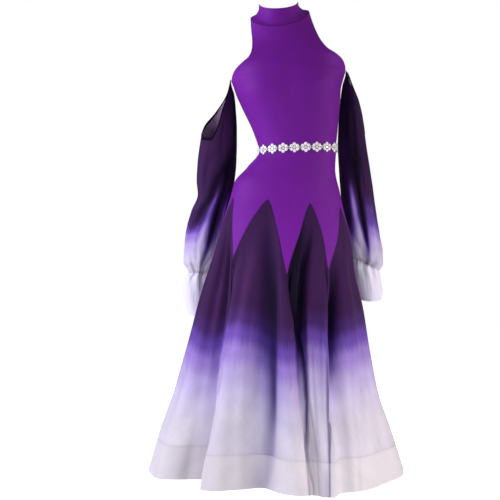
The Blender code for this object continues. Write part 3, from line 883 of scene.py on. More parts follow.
def make_dye():
    group, start, end = effect_group("dip dye", ("From", "To"), "Color", "NodeSocketColor")
    place = add_node(group, "TexCoord", {}, "Object")
    up = add_node(group, "SeparateXYZ", {0: place}, "Z")
    streaks = noise_node(group, cut_place(group, 6.0, 0.35), 14.0, 3.0)
    shift = math_node(group, "MULTIPLY", math_node(group, "SUBTRACT", streaks, 0.5), STREAK_REACH)
    height = math_node(group, "SUBTRACT", math_node(group, "ADD", up, shift),
                       mark_node(group, "dip"))
    passed = math_node(group, "SUBTRACT", height, start["From"])
    reach = math_node(group, "SUBTRACT", start["To"], start["From"])
    ramp = group.nodes.new("ShaderNodeValToRGB")
    ramp.color_ramp.interpolation = "EASE"
    while len(ramp.color_ramp.elements) < len(DYE):
        ramp.color_ramp.elements.new(1.0)
    for element, (position, colour) in zip(ramp.color_ramp.elements, DYE):
        element.position = position
        element.color = (*colour, 1.0)
    set_inputs(group, ramp, {"Fac": math_node(group, "DIVIDE", passed, reach, clamp=True)})
    group.links.new(ramp.outputs["Color"], end)
    return group


EFFECTS["dye"] = make_dye()
print(EFFECTS["dye"].name, "has", len(EFFECTS["dye"].nodes), "nodes")

# %% [markdown]
# ## Finishes: cloth
# All the cloths share one recipe, with their own values. Colour is multiplied by the mottle and
# darkened a little along seams; on the sleeves and cuffs the same seam mark paints shade into the
# gathers at the elastic. The threads only lift the Bump node, because a thread is half a
# millimetre wide. Sheen gives the pale edge that fine fibres have where we look along the cloth.
#
# Shade is painted into the folds too: the fold mark darkens the colour, and deep folds are painted
# to keep more blue than red or green, as light that bounces about inside violet cloth would leave
# them. Each colour channel of the painted fold shade is raised to one of the `FOLD_POWERS`.

# %% Cloth recipe
# powers that tint the painted fold shade, for red, green and blue
FOLD_POWERS = (1.05, 1.10, 0.78)
THREAD_STRENGTH = 0.6


def use_effect(tree, effect, **values):
    """A shared effect in this material, with its own values."""
    return add_node(tree, "Group", values, node_tree=EFFECTS[effect])


def marked(tree, mark, strength, before):
    """A shade that falls by a mark on the cloth times its strength."""
    return math_node(tree, "MULTIPLY_ADD", mark_node(tree, mark), -strength, before)


def shaded(tree, colour, shade):
    """A colour multiplied by a shade."""
    return add_node(tree, "VectorMath", {0: colour, "Scale": shade}, operation="SCALE")


def with_painted_fold_shade(tree, colour, fold):
    """A colour darkened by painted fold shade, each channel by its own power."""
    powers = {i: math_node(tree, "POWER", fold, power) for i, power in enumerate(FOLD_POWERS)}
    tint = add_node(tree, "CombineXYZ", powers)
    return add_node(tree, "VectorMath", {0: colour, 1: tint}, operation="MULTIPLY")


def cloth_finish(name, colour=None, dye=None, reverse=1.0, mottle=0.3, seam=0.0, hollow=0.0,
                 threads=(1800, 1800), thread_rise=0.00008, roughness=0.7, gloss=0.07, sheen=0.03):
    """A cloth material. colour is plain, dye is the heights where dip dye starts and ends."""
    material, tree, shader = new_finish(name)
    base = use_effect(tree, "dye", From=dye[0], To=dye[1]) if dye else colour
    shade = math_node(tree, "MULTIPLY", use_effect(tree, "mottle", Amount=mottle),
                      marked(tree, "seam", seam, reverse))
    # painted shade of the folds, from the cloth's fold mark
    fold = marked(tree, "hollow", hollow, 1.0)
    weave = use_effect(tree, "threads", Across=threads[0], Down=threads[1])
    lift = add_node(tree, "Bump", {"Height": weave, "Strength": THREAD_STRENGTH,
                                   "Distance": thread_rise})
    set_inputs(tree, shader, {
        "Base Color": with_painted_fold_shade(tree, shaded(tree, base, shade), fold), "Normal": lift,
        "Roughness": roughness, "Sheen Weight": sheen, "Specular IOR Level": gloss})
    return material


print("each channel of a fold's shade has the power", FOLD_POWERS)

# %% Cloth finishes
SKIRT_DYE = (-0.860, -1.180)
SLEEVE_DYE = (-0.545, -0.760)
# a finish's fold strength sets how dark its painted fold shade gets; the sleeves' and cuffs' seam
# strength also sets the painted shade in the gathers at the elastic
FINISH = {
    "jersey": cloth_finish("jersey", (0.172, 0.0115, 0.318), mottle=0.18, seam=0.45,
                           threads=(1100, 800), thread_rise=0.00012, roughness=0.55, gloss=0.11,
                           sheen=0.02),
    "skirt": cloth_finish("skirt chiffon", dye=SKIRT_DYE, mottle=0.35, seam=0.5, hollow=0.88),
    "skirt inside": cloth_finish("skirt chiffon inside", dye=SKIRT_DYE, reverse=0.9),
    "sleeve": cloth_finish("sleeve chiffon", dye=SLEEVE_DYE, mottle=0.35, seam=0.55, hollow=0.9),
    # the inside of the sleeves is painted paler, greyer and streakier than the sleeve, which stands
    # in for light shining through the chiffon
    "sleeve inside painted light": cloth_finish("sleeve chiffon inside with painted light", (0.370, 0.260, 0.425), mottle=2.2),
    "band": cloth_finish("hem band chiffon", (0.680, 0.645, 0.685), mottle=0.16, seam=0.10,
                         hollow=0.8),
    "cuff": cloth_finish("cuff chiffon", (0.750, 0.725, 0.860), mottle=0.16, seam=0.45),
    "binding": cloth_finish("binding", (0.008, 0.005, 0.011), mottle=0.5, roughness=0.9,
                            gloss=0.03, sheen=0.0, threads=(1200, 1200)),
    "white thread": cloth_finish("white thread", (0.690, 0.655, 0.700), threads=(3000, 3000)),
}
print("cloth finishes:", list(FINISH))

# %% [markdown]
# ## Finishes: pearl and silver
# The belt's petals are pearl: white, smooth and coated, with a faint cloudy change of shade. The
# stone in each middle and the links between the flowers are bright metal.

# %% Pearl and silver
def hard_finish(name, colour, roughness, metallic, coat):
    """A smooth finish with a faint cloudy change of shade and fine scratches."""
    material, tree, shader = new_finish(name)
    place = add_node(tree, "TexCoord", {}, "Object")
    clouds = noise_node(tree, place, 180.0, 3.0)
    scratches = noise_node(tree, place, 900.0, 4.0, 0.7)
    shade = math_node(tree, "MULTIPLY_ADD", clouds, 0.16, 0.96)
    set_inputs(tree, shader, {
        "Base Color": shaded(tree, colour, shade),
        "Roughness": math_node(tree, "MULTIPLY_ADD", scratches, 0.2, roughness - 0.1),
        "Metallic": metallic, "Coat Weight": coat})
    return material


FINISH["pearl"] = hard_finish("pearl", (0.97, 0.95, 0.96), 0.28, 0.0, 0.6)
FINISH["silver"] = hard_finish("silver", (0.95, 0.93, 0.95), 0.30, 0.35, 0.3)
print("hard finishes: pearl, silver")

# %% [markdown]
# ## Bodice
# The front reaches from side seam to side seam and runs down into three whole points and half of
# each side one. The back is cut in two halves with a seam down its middle. Each is one grid: its
# rows follow the armholes above, and its lowest rows swing down to the pointed edge.
# The jersey is tight, so it has only faint drag lines. The armholes have a turned edge.

# %% Bodice creases
# width, depth (- is a ridge) and a path of (angle, height), all but the angles in millimetres
BODICE_CREASES = path_rows(
    Crease,
    (3.5, 0.7, (-44, -7), (-20, -12), (0, -14)), (4.5, 0.6, (-30, -19), (-8, -24), (12, -25)),
    (3.5, 0.6, (40, -9), (18, -14), (2, -16)), (5, 0.5, (36, -24), (14, -30), (-4, -31)),
    (4, 0.6, (150, -10), (180, -15), (206, -11)), (5, 0.5, (160, -28), (180, -31), (203, -26)),
    (8, 1, (-84, -196), (-66, -212), (-50, -224)), (9, 0.8, (-86, -215), (-70, -238), (-55, -256)),
    (8, 1, (85, -194), (68, -212), (52, -226)), (9, 0.8, (87, -220), (72, -243), (58, -262)),
    (12, 0.7, (-14, -262), (0, -290), (10, -322)), (8, 0.9, (-80, -352), (-62, -368), (-40, -378)),
    (6, 0.8, (-84, -376), (-60, -388), (-36, -384)), (8, 0.9, (82, -350), (64, -366), (44, -376)),
    (6, 0.8, (84, -378), (60, -386), (38, -384)), (8, 0.9, (-82, -424), (-58, -436), (-34, -436)),
    (8, 0.9, (80, -424), (60, -438), (36, -440)), (9, 0.6, (-20, -428), (2, -436), (24, -430)),
    (11, 0.8, (-64, -470), (-48, -500), (-40, -540)),
    (11, 0.8, (60, -474), (46, -506), (40, -545)), (9, 1, (112, -200), (128, -222), (142, -236)),
    (9, 1, (250, -198), (234, -222), (220, -236)), (8, 0.9, (104, -356), (126, -372), (150, -380)),
    (8, 0.9, (256, -354), (236, -372), (212, -380)), (8, 1, (106, -424), (130, -438), (154, -436)),
    (8, 1, (252, -426), (232, -438), (206, -438)),
    (12, 0.8, (170, -330), (180, -350), (191, -366)),
)
COLLAR_CREASES = path_rows(
    Crease,
    (3, 0.8, (-50, 5), (-20, 3), (0, 6)), (3, 0.7, (10, 7), (35, 4), (62, 8)),
    (4, 0.8, (-74, 14), (-60, 20), (-48, 27)), (4, 0.8, (60, 26), (74, 18), (86, 12)),
    (3.5, 0.8, (140, 8), (176, 6), (210, 9)),
)
NECK_SEAM = 0.0018         # half width of the groove where collar and bodice meet
COLLAR_HEM = 0.008
COLLAR_COLUMNS, COLLAR_ROWS = 256, 32
ARMHOLE_HEM = 0.006
ARMHOLE_FADE = 0.012       # height over which the armhole's edge turns into the side seam
SIDE_SEAM = 0.0012
POINT_SEAM = 0.0020
ARMHOLE_ROWS, SIDE_ROWS, POINT_ROWS = 66, 71, 61
print("bodice creases:", len(BODICE_CREASES))

# %% Collar
collar_angle, collar_height = np.broadcast_arrays(
    full_turn(COLLAR_COLUMNS), np.linspace(COLLAR_TOP, 0.0, COLLAR_ROWS)[:, None])
collar_seam = bump(collar_height, NECK_SEAM)
collar_girth = smooth_curve((0.0, COLLAR_TOP), (0.44, 0.364))
collar_relief = (turned_edge(COLLAR_TOP - collar_height, COLLAR_HEM) - SEAM_DEPTH * collar_seam
                 + along_creases(COLLAR_CREASES, collar_angle, collar_height, collar_girth))
collar = cloth("collar_cloth", dress_point(collar_angle, collar_height),
               dress_normal(collar_angle, collar_height), collar_relief, JERSEY_WALL,
               (FINISH["jersey"],), closed=True, seam=collar_seam)
hand_over(collar, "collar")

# %% Grid of the bodice
def seam_distance(angle, height):
    """Distance from the pointed edge of the bodice, measured square to it."""
    degree = dress_girth(height) / 360.0
    slope = (point_edge(angle + 0.5) - point_edge(angle - 0.5)) / degree
    return np.abs(height - point_edge(angle)) / np.sqrt(1.0 + slope ** 2)


def bodice_grid(side, first, last, count):
    """Angles and heights of a bodice piece. first and last are quarters of the dress."""
    middle = 0.0 if side == "front" else 180.0
    share = np.linspace(first, last, count + 1)
    rows = np.concatenate([np.linspace(0.0, UNDERARM, ARMHOLE_ROWS),
                           np.linspace(UNDERARM, POINT_START, SIDE_ROWS)[1:]])
    upper = middle + armhole_angle(rows, side)[:, None] * share
    lower = middle + 90.0 * share
    down = np.linspace(0.0, 1.0, POINT_ROWS)[1:, None]
    edge_rows = POINT_START + (point_edge(lower) - POINT_START) * down
    angle = np.concatenate([upper, np.broadcast_to(lower, edge_rows.shape)])
    height = np.concatenate([np.broadcast_to(rows[:, None], upper.shape), edge_rows])
    return angle, height


print("rows of the front:", len(bodice_grid("front", -1.0, 1.0, 2)[0]))

# %% Bodice pieces
def make_bodice_piece(name, side, first, last, count):
    """The front or one half of the back, with its turned armholes and its seams."""
    angle, height = bodice_grid(side, first, last, count)
    points = dress_point(angle, height)
    lengths = arc_lengths(points)
    from_first, from_last = lengths - lengths[:, :1], lengths[:, -1:] - lengths
    if side == "front":
        to_side, to_middle = np.minimum(from_first, from_last), np.inf
    elif first < 0:
        to_side, to_middle = from_first, from_last
    else:
        to_side, to_middle = from_last, from_first
    open_edge = ease((height - UNDERARM) / ARMHOLE_FADE)
    seam = bump(to_side, SIDE_SEAM) * (1.0 - open_edge)
    for distance, width in ((to_middle, SIDE_SEAM), (height, NECK_SEAM),
                            (seam_distance(angle, height), POINT_SEAM)):
        seam = np.maximum(seam, bump(distance, width))
    relief = along_creases(BODICE_CREASES, angle, height, dress_girth)
    relief += turned_edge(to_side, ARMHOLE_HEM) * open_edge - SEAM_DEPTH * seam
    return cloth(name, points, dress_normal(angle, height), relief, JERSEY_WALL,
                 (FINISH["jersey"],), seam=seam)


for name, side, first, last, count, flat, area in (
        ("bodice_front", "front", -1.0, 1.0, 168, (0.50, 0.77), 0.232),
        ("bodice_back_right", "back", -1.0, 0.0, 84, (0.25, 0.77), 0.120),
        ("bodice_back_left", "back", 0.0, 1.0, 84, (0.25, 0.77), 0.115)):
    piece = make_bodice_piece(name + "_cloth", side, first, last, count)
    hand_over(piece, name)

# %% [markdown]
# ## Skirt
# Eight godets hang from the pointed edge. Their big folds are already in `dress_point`, and each
# row of the next table adds a smaller fold that starts below the arch and grows towards the hem.
# The hem band uses the same table, so every fold runs on through the seam.

# %% Smaller folds
# angle: where the fold starts on the pattern; foot: where it ends at the hem; top: height where it
# starts (millimetres); width: degrees; depth: millimetres at the hem, - is a ridge
Ripple = namedtuple("Ripple", "angle foot top width depth")
RIPPLES = rows(
    Ripple,
    (-88, -86, -640, 3.4, -3.5), (-81, -79, -600, 2.6, 3.5), (-72, -71, -590, 2.4, -3.5),
    (-68, -67, -600, 1.6, 4.5), (-62, -58, -640, 2.8, 3), (-52, -53, -700, 2.2, -2.5),
    (-43, -44, -770, 2, 2.6), (-39.5, -38.5, -640, 1.5, -1.2), (-36.5, -34.5, -620, 1.7, 1.6),
    (-33.5, -30.5, -610, 2, -1.6), (-28, -27, -660, 2.4, -1), (-19, -19.5, -700, 2.2, -0.6),
    (-13, -13, -600, 2.6, 1), (-8, -9, -720, 1.6, -1.2), (-4.5, -4, -800, 1.5, 1),
    (1, 2, -790, 1.5, -1.2), (8, 9, -700, 1.8, 2.4), (27, 26, -680, 2.2, 3),
    (33, 33, -760, 1.6, -2), (38, 37, -660, 1.6, 2.6), (46, 47, -700, 2, 3),
    (58.5, 58.5, -640, 2, -2.6), (62, 61, -650, 1.4, 2.6), (67, 68, -760, 2.2, -2.2),
    (77, 76, -700, 2.2, 2.8), (87, 86, -760, 2.2, 2.4), (96, 97, -660, 2.6, -3.5),
    (104, 103, -640, 2.4, 4), (116, 117, -700, 2.6, -3.5), (125, 124, -640, 2.6, 3.5),
    (131, 132, -740, 1.8, -2.5), (140, 140, -620, 1.8, 3), (151, 151, -700, 2, -3),
    (160, 160, -640, 2, 3), (173, 172, -700, 2.4, -3), (186, 186, -660, 2.6, 3.5),
    (194, 194, -720, 2, -3), (211, 210, -640, 2.4, 3.5), (219, 219, -740, 1.8, -2.5),
    (230, 230, -660, 2.2, 3), (241, 241, -700, 1.8, -3), (252, 252, -640, 2.2, 3.5),
    (263, 262, -720, 2.2, -3),
)
GROW = 0.35                # share of its length over which a smaller fold grows

print("smaller folds:", len(RIPPLES))

# %% Deeper creases
# width, depth (- is a ridge) and a path of (angle, height), all but the angles in millimetres
SKIRT_CREASES = path_rows(
    Crease,
    (30, 24, (-47, -640), (-46, -860), (-44.5, -985), (-44.5, -1090), (-45.5, -1140), (-47, -1230),
     (-47.5, -1330)),
    (20, 13, (-51, -760), (-51, -940), (-51, -1140), (-52, -1330), (-52, -1420)),
    (12, 6, (-60, -560), (-60, -760), (-60, -1000)),
    (10, 17, (8, -450), (3.5, -640), (0.5, -700), (0.5, -752), (3, -800), (8, -866), (14, -925),
     (19, -977), (22, -1041), (21.5, -1110), (18, -1185), (15, -1235), (15, -1287), (18, -1325),
     (18, -1450)),
    (14, -9, (27, -540), (28, -760), (28, -1000), (27, -1240)),
    (12, 15, (44, -640), (45, -765), (46, -831), (47, -900), (49, -1000)),
    (10, 16, (50, -540), (51, -696), (53, -767), (53, -838), (52, -950), (51, -1032), (49, -1078),
     (47, -1130), (43, -1182), (41, -1300)),
    (12, 5, (47, -1080), (43, -1182), (41, -1232), (40, -1283), (39, -1420), (39, -1560)),
    (27, 14, (-19, -520), (-17.5, -700), (-15.5, -800), (-14, -900), (-13.5, -1000), (-14, -1140),
     (-16, -1240), (-20, -1330), (-21, -1450), (-21, -1700)),
    (16, 10, (112, -560), (110, -760), (110, -1000), (108, -1300)),
    (14, 12, (146, -560), (146, -760), (147, -1000), (148, -1300)),
    (14, 8, (168, -580), (168, -800), (168, -1060), (167, -1300)),
    (16, 12, (203, -560), (204, -760), (204, -1000), (203, -1300)),
    (13, 8, (236, -580), (236, -800), (236, -1060), (235, -1300)),
    (14, 8, (258, -560), (258, -760), (258, -1000), (257, -1300)),
)
# how much higher or lower than elsewhere the dye turns pale, by angle (millimetres): mostly uneven
# dyeing, and partly painted light that makes cloth lying in shade paler
DIPS = smooth_curve((-88, -75, -66, -52, -41, -33, -22, -12, -3, 8, 22, 30, 40, 50, 60, 75, 90,
                     112, 135, 157, 180, 203, 225, 247),
                    (6, -4, -26, -12, 17, 16, -2, -28, -34, -38, -6, 8, 6, -30, -6, 6, 10,
                     -24, 14, -16, 10, -26, 12, -14), 360.0)
RIPPLE_START = 0.08        # distance below the pointed edge over which the smaller folds begin
CREASE_START = 0.05        # and the deeper creases


def rippled(angle, height):
    """How far the smaller folds push the chiffon out."""
    pushed = np.zeros(np.broadcast(angle, height).shape)
    for ripple in RIPPLES:
        share = np.clip((ripple.top * MM - height) / (ripple.top * MM - HEM), 0.0, 1.0)
        middle = ripple.angle + (ripple.foot - ripple.angle) * share
        pushed -= (ripple.depth * MM * ease(share / GROW)
                   * bump(wrapped(angle - middle), ripple.width))
    below = point_edge(angle) - height
    creased = along_creases(SKIRT_CREASES, angle, height, dress_girth)
    return pushed * ease(below / RIPPLE_START) + creased * ease(below / CREASE_START)


print("deeper creases:", len(SKIRT_CREASES))

# %% Painted shade of the folds, by how hollow the cloth lies
HOLLOW_SPAN = 17           # degrees each way over which the cloth's mean distance is taken
HOLLOW_DEPTH = 0.030       # this far inside the mean counts as fully hollow
# pale cloth lets light through, so its folds stay light: the share of the painted fold shade that is
# left at each height
PAINTED_SHADE_LEFT = smooth_curve((-1.35, -1.20, -1.12, -1.05, -0.98, -0.90),
                           (0.06, 0.06, 0.10, 0.36, 0.85, 1.00))


def hollowness(angle, height):
    """Painted fold shade: 0 on the crests and 1 deep in a fold, by how far the cloth lies inside its
    neighbourhood, times the share left at its height.
    """
    def reach(turned):
        relief = rippled(turned, height)[..., None]
        place = dress_point(turned, height) + dress_normal(turned, height) * relief
        centre = np.stack([BODY["centre"](height), np.zeros_like(height)], axis=-1)
        return np.linalg.norm(place[..., :2] - centre, axis=-1)

    around = [reach(angle + step) for step in np.linspace(-HOLLOW_SPAN, HOLLOW_SPAN, 9)]
    inside = np.mean(around, axis=0) - reach(angle)
    return ease(inside / HOLLOW_DEPTH) * PAINTED_SHADE_LEFT(height)


print("share of the fold shade left at the hem:", float(PAINTED_SHADE_LEFT(HEM)))

# %% [markdown]
# Streaks paint light and shade along single folds into the chiffon's colour. A streak is a path on
# the cloth where the dye turns pale higher up than elsewhere, or lower down if `dye` is negative;
# this shows uneven dyeing and also paints lit folds paler and shaded folds darker. `shade` is
# painted shade in a fold there, from 0 to 1. It is negative for a painted highlight on a crest
# that stays paler than the cloth beside it.

# %% Streaks of the skirt
Streak = namedtuple("Streak", "width shade dye path")
# width, painted shade (- is a painted highlight), dye and a path of (angle, height), all but shades
# and angles in millimetres
SKIRT_STREAKS = path_rows(
    Streak,
    (8, -0.6, 6, (-31, -640), (-33, -765), (-34, -820), (-35, -873), (-36.5, -925), (-37, -1040)),
    (7, -0.35, 0, (-43, -700), (-42, -800), (-41, -900), (-40, -1000)),
    (12, 0.8, 0, (2, -560), (2, -680), (3, -760), (5, -830), (9, -920), (14, -1000)),
    (24, 1, 0, (9, -540), (9, -680), (9, -780), (12, -860), (15, -960)),
    (17, -0.55, 4, (31, -660), (31, -760), (31, -900), (31, -1040), (29, -1120), (27, -1250)),
    (20, 0.45, 0, (-15.5, -640), (-14.5, -800), (-12.5, -900), (-13, -1100), (-14, -1250)),
    (33, 0.55, 0, (-14, -880), (-14, -1000), (-14.5, -1140), (-16, -1240), (-17.5, -1290),
     (-20, -1330), (-21, -1450), (-21, -1750)),
    (8, 0.85, 0, (45, -860), (44, -960), (43.5, -1025), (43.5, -1078), (42.5, -1130),
     (41.5, -1182), (40.5, -1232), (40, -1283), (39.5, -1330), (39.5, -1450), (39.5, -1600)),
    (8, 0.35, 0, (21, -1000), (21.5, -1110), (18, -1185), (15, -1235), (13, -1290), (12, -1330),
     (12, -1500)),
    (28, 0.42, 0, (36, -1240), (36, -1330), (36, -1420), (36, -1560)),
    (10, 0.42, 0, (12.5, -1240), (12.5, -1330), (12.5, -1420), (12.5, -1560)),
    (24, -0.2, 0, (22, -1250), (22, -1330), (22, -1420), (22, -1560)),
    (14, -0.3, 0, (57, -900), (57, -1000), (57, -1100), (56, -1200)),
    (30, -0.22, 0, (-66, -960), (-66, -1100), (-67, -1200), (-68, -1290), (-68, -1400)),
    (17, -0.6, 8, (-64, -760), (-63, -900), (-62, -960), (-61, -1060)),
    (12, -0.4, 6, (150, -640), (150, -840), (149, -1040)),
    (12, -0.4, 6, (196, -640), (196, -840), (195, -1040)),
    (10, -0.4, -6, (244, -640), (244, -840), (243, -1040)),
)


def streaked(table, angle, height, girth):
    """The painted shade and the dye shift of the streaks, in that order."""
    return [along_paths(table, amounts, angle, height, girth) for amounts in
            ([row.shade for row in table], [row.dye * MM for row in table])]


print("streaks of the skirt:", len(SKIRT_STREAKS))

# %% Godets
GODET_COLUMNS, GODET_ROWS = 60, 128
HEM_SEAM = 0.0015
HEM_SEAM_SHADE = 0.25      # the hem seam is pale and shows less than the pointed seam
# painted fold shade and streak shade together are kept above this; below 0 they are a painted
# highlight
PALEST = -0.6              # the least that hollows and streaks come to together

for panel in range(PANELS):
    name = f"skirt_panel_{panel + 1}"
    angles = np.linspace(panel, panel + 1, GODET_COLUMNS + 1) * PANEL_ANGLE
    foot = hem_height(angles) + HEM_BAND
    height = point_edge(angles) + (foot - point_edge(angles)) * downward(GODET_ROWS)
    angle = np.broadcast_to(angles, height.shape)
    seam = bump(seam_distance(angle, height), POINT_SEAM)
    hem_seam = bump(height - foot, HEM_SEAM)
    relief = rippled(angle, height) - SEAM_DEPTH * np.maximum(seam, hem_seam)
    # painted shade and highlights along the folds, and dye shifts that also paint lit and shaded
    # folds
    shade, dye = streaked(SKIRT_STREAKS, angle, height, dress_girth)
    piece = cloth(name + "_cloth", dress_point(angle, height), dress_normal(angle, height),
                  relief, CHIFFON_WALL, (FINISH["skirt"], FINISH["skirt inside"]),
                  seam=np.maximum(seam, HEM_SEAM_SHADE * hem_seam),
                  hollow=np.clip(hollowness(angle, height) + shade, PALEST, 1.0),
                  dip=DIPS(angle) * MM + dye)
    hand_over(piece, name)

# %% [markdown]
# ## Hem band
# The band is turned double and stitched to the godets. Its stitches pull the cloth into small
# puckers, and a second line of stitches holds the rolled lower edge.

# %% Creases of the hem band
BAND_COLUMNS, BAND_ROWS = 540, 36
STITCH_DROP = 0.0035       # the stitches run this far below the band's upper edge
ROLL_WIDTH = 0.009
# the band takes this share of the painted shade of the skirt's streaks
BAND_STREAKS = 0.75        # the doubled band shows the streaks of the skirt less
BAND_RADIUS = 0.42         # near enough to turn angles into distances for the puckers
PUCKER_PITCH = 0.011
PUCKER_DEPTH = 0.00045
PUCKER_REACH = 0.009       # how far the puckers run from the stitches
BAND_GIRTH = even_girth(2.5)

# diagonal creases of the band: width, depth and a path of (angle, millimetres below its upper edge)
BAND_CREASES = path_rows(
    Crease,
    (3, 1.4, (29, 20), (33, 44), (38, 74)), (3, -1.2, (33, 18), (37, 42), (41, 72)),
    (3.5, 1.2, (-41, 8), (-38, 34), (-34, 60)), (4, 1, (-22, 12), (-19, 40), (-17, 70)),
    (3.5, 1, (4, 10), (6, 34), (9, 58)), (3.5, 1.2, (57, 8), (60, 36), (62, 66)),
    (4, 1.2, (-78, 12), (-75, 38), (-73, 66)), (4, 1.2, (-62, 10), (-64, 36), (-67, 62)),
    (4, 1, (78, 12), (76, 40), (73, 66)), (4, 1.4, (100, 10), (104, 38), (107, 68)),
    (4, 1.2, (121, 12), (118, 40), (116, 66)), (3.5, 1.4, (139, 10), (142, 36), (145, 64)),
    (3.5, 1.2, (159, 12), (162, 40), (164, 66)), (4, 1.2, (176, 10), (179, 34), (183, 62)),
    (3.5, 1.4, (196, 12), (199, 40), (201, 68)), (4, 1.2, (214, 10), (211, 38), (209, 64)),
    (3.5, 1.2, (232, 12), (235, 36), (238, 64)), (4, 1.4, (254, 10), (252, 38), (249, 66)),
)
# how strongly the band puckers round the hem, by angle
PUCKERS = smooth_curve((-85, -70, -60, -30, 0, 35, 60, 90, 140, 180, 230),
                       (1.0, 2.4, 1.4, 0.6, 0.8, 1.1, 0.6, 1.0, 1.5, 0.9, 1.4), 360.0)


def band_relief(angle, drop):
    """Stitches, puckers and creases of the hem band, by the distance below its upper edge."""
    arc = np.radians(angle) * BAND_RADIUS
    uneven = 1.7 * np.sin(arc * 31.0) + 0.9 * np.sin(arc * 83.0)
    wave = np.sin(math.tau * arc / PUCKER_PITCH + uneven)
    below = drop - STITCH_DROP
    return (PUCKER_DEPTH * wave * bump(below, PUCKER_REACH) * PUCKERS(angle)
            - SEAM_DEPTH * bump(below, STITCH_LINE) + turned_edge(HEM_BAND - drop, ROLL_WIDTH)
            + along_creases(BAND_CREASES, angle, drop, BAND_GIRTH))


def band_surface(angle, drop):
    """The plain middle of the band, its normal and its relief with all the folds."""
    height = hem_height(angle) + HEM_BAND - drop
    relief = rippled(angle, height) + band_relief(angle, drop)
    return dress_point(angle, height), dress_normal(angle, height), relief


print("creases of the band:", len(BAND_CREASES))

# %% Hem band
angle, drop = np.broadcast_arrays(full_turn(BAND_COLUMNS), downward(BAND_ROWS) * HEM_BAND)
height = hem_height(angle) + HEM_BAND - drop
# the painted fold shade of the skirt's streaks carries on into the band
shade = streaked(SKIRT_STREAKS, angle, height, dress_girth)[0]
hem_band = cloth("hem_band_cloth", *band_surface(angle, drop), BAND_WALL, (FINISH["band"],),
                 closed=True,
                 seam=np.maximum(bump(drop, HEM_SEAM), bump(drop - STITCH_DROP, STITCH_LINE)),
                 hollow=np.clip(hollowness(angle, height) + BAND_STREAKS * shade, 0.0, 1.0))
hand_over(hem_band, "hem_band")

# %% [markdown]
# ## Stitches
# One stitch is a small rounded bar of thread. We model it once, and then set copies of it along a
# line on the cloth. All the copies of a line become one piece.

# %% One stitch
STITCH_LENGTH = 0.0030
STITCH_PITCH = 0.0042
STITCH_WIDTH = 0.0006


def model_of(add, scale=(1.0, 1.0, 1.0), tilt=0.0, **sizes):
    """A model from one of Blender's own shapes, with its scale and tilt worked into its points."""
    add(**sizes)
    model = bpy.context.object
    model.scale = scale
    model.rotation_euler = (0.0, 0.0, tilt)
    bpy.ops.object.transform_apply()
    bpy.ops.object.shade_smooth()
    return model


stitch = model_of(bpy.ops.mesh.primitive_uv_sphere_add, (STITCH_LENGTH, STITCH_WIDTH, STITCH_WIDTH),
                  segments=6, ring_count=4, radius=0.5)
print("one stitch has", len(stitch.data.polygons), "faces")

# %% Copies along a line
def copies_of(model, frames, name, finish):
    """One piece made of a copy of the model in each frame (a 4 by 4 matrix)."""
    mesh = bmesh.new()
    for frame_matrix in frames:
        copy = model.data.copy()
        copy.transform(frame_matrix)
        mesh.from_mesh(copy)
        bpy.data.meshes.remove(copy)
    data = bpy.data.meshes.new(name)
    mesh.to_mesh(data)
    mesh.free()
    data.materials.append(finish)
    print(name, "has", len(frames), "copies")
    return add_object(name, data)


def frame_on(place, along, out, lift):
    """A frame whose x runs along the line and whose z points out of the cloth."""
    z = Vector(out).normalized()
    x = (Vector(along) - z * z.dot(Vector(along))).normalized()
    turned = Matrix((x, z.cross(x), z)).transposed().to_4x4()
    turned.translation = Vector(place) + z * lift
    return turned


def frames_along(points, normals, pitch, lift):
    """Frames at even steps along a closed line of points."""
    closed = np.concatenate([points, points[:1]])
    steps = np.linalg.norm(np.diff(closed, axis=0), axis=-1)
    lengths = np.concatenate([[0.0], np.cumsum(steps)])
    count = int(lengths[-1] / pitch)
    frames = []
    for place in (np.arange(count) + 0.5) * lengths[-1] / count:
        i = int(np.searchsorted(lengths, place)) - 1
        along = closed[i + 1] - closed[i]
        share = (place - lengths[i]) / steps[i]
        frames.append(frame_on(closed[i] + along * share, along, normals[i], lift))
    return frames


print("stitches are set every", STITCH_PITCH / MM, "mm")

# %% Stitches of the hem
STITCH_POINTS = 1600       # points along each line of stitches

stitch_frames = []
for drop in (STITCH_DROP, HEM_BAND - ROLL_WIDTH):
    points, normals, relief = band_surface(full_turn(STITCH_POINTS), np.full(STITCH_POINTS, drop))
    stitch_frames += frames_along(points + normals * relief[..., None], normals, STITCH_PITCH,
                                  BAND_WALL / 2)
hem_stitching = copies_of(stitch, stitch_frames, "hem_stitching", FINISH["white thread"])
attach(hem_stitching, "root")

# %% [markdown]
# ## Sleeves and cuffs
# Each sleeve hangs from the underarm. Its slanted top is bound with a folded strip, and at the
# wrist elastic gathers the wide tube, so creases fan out from there both ways. The ruffle below
# the elastic is a piece of its own.

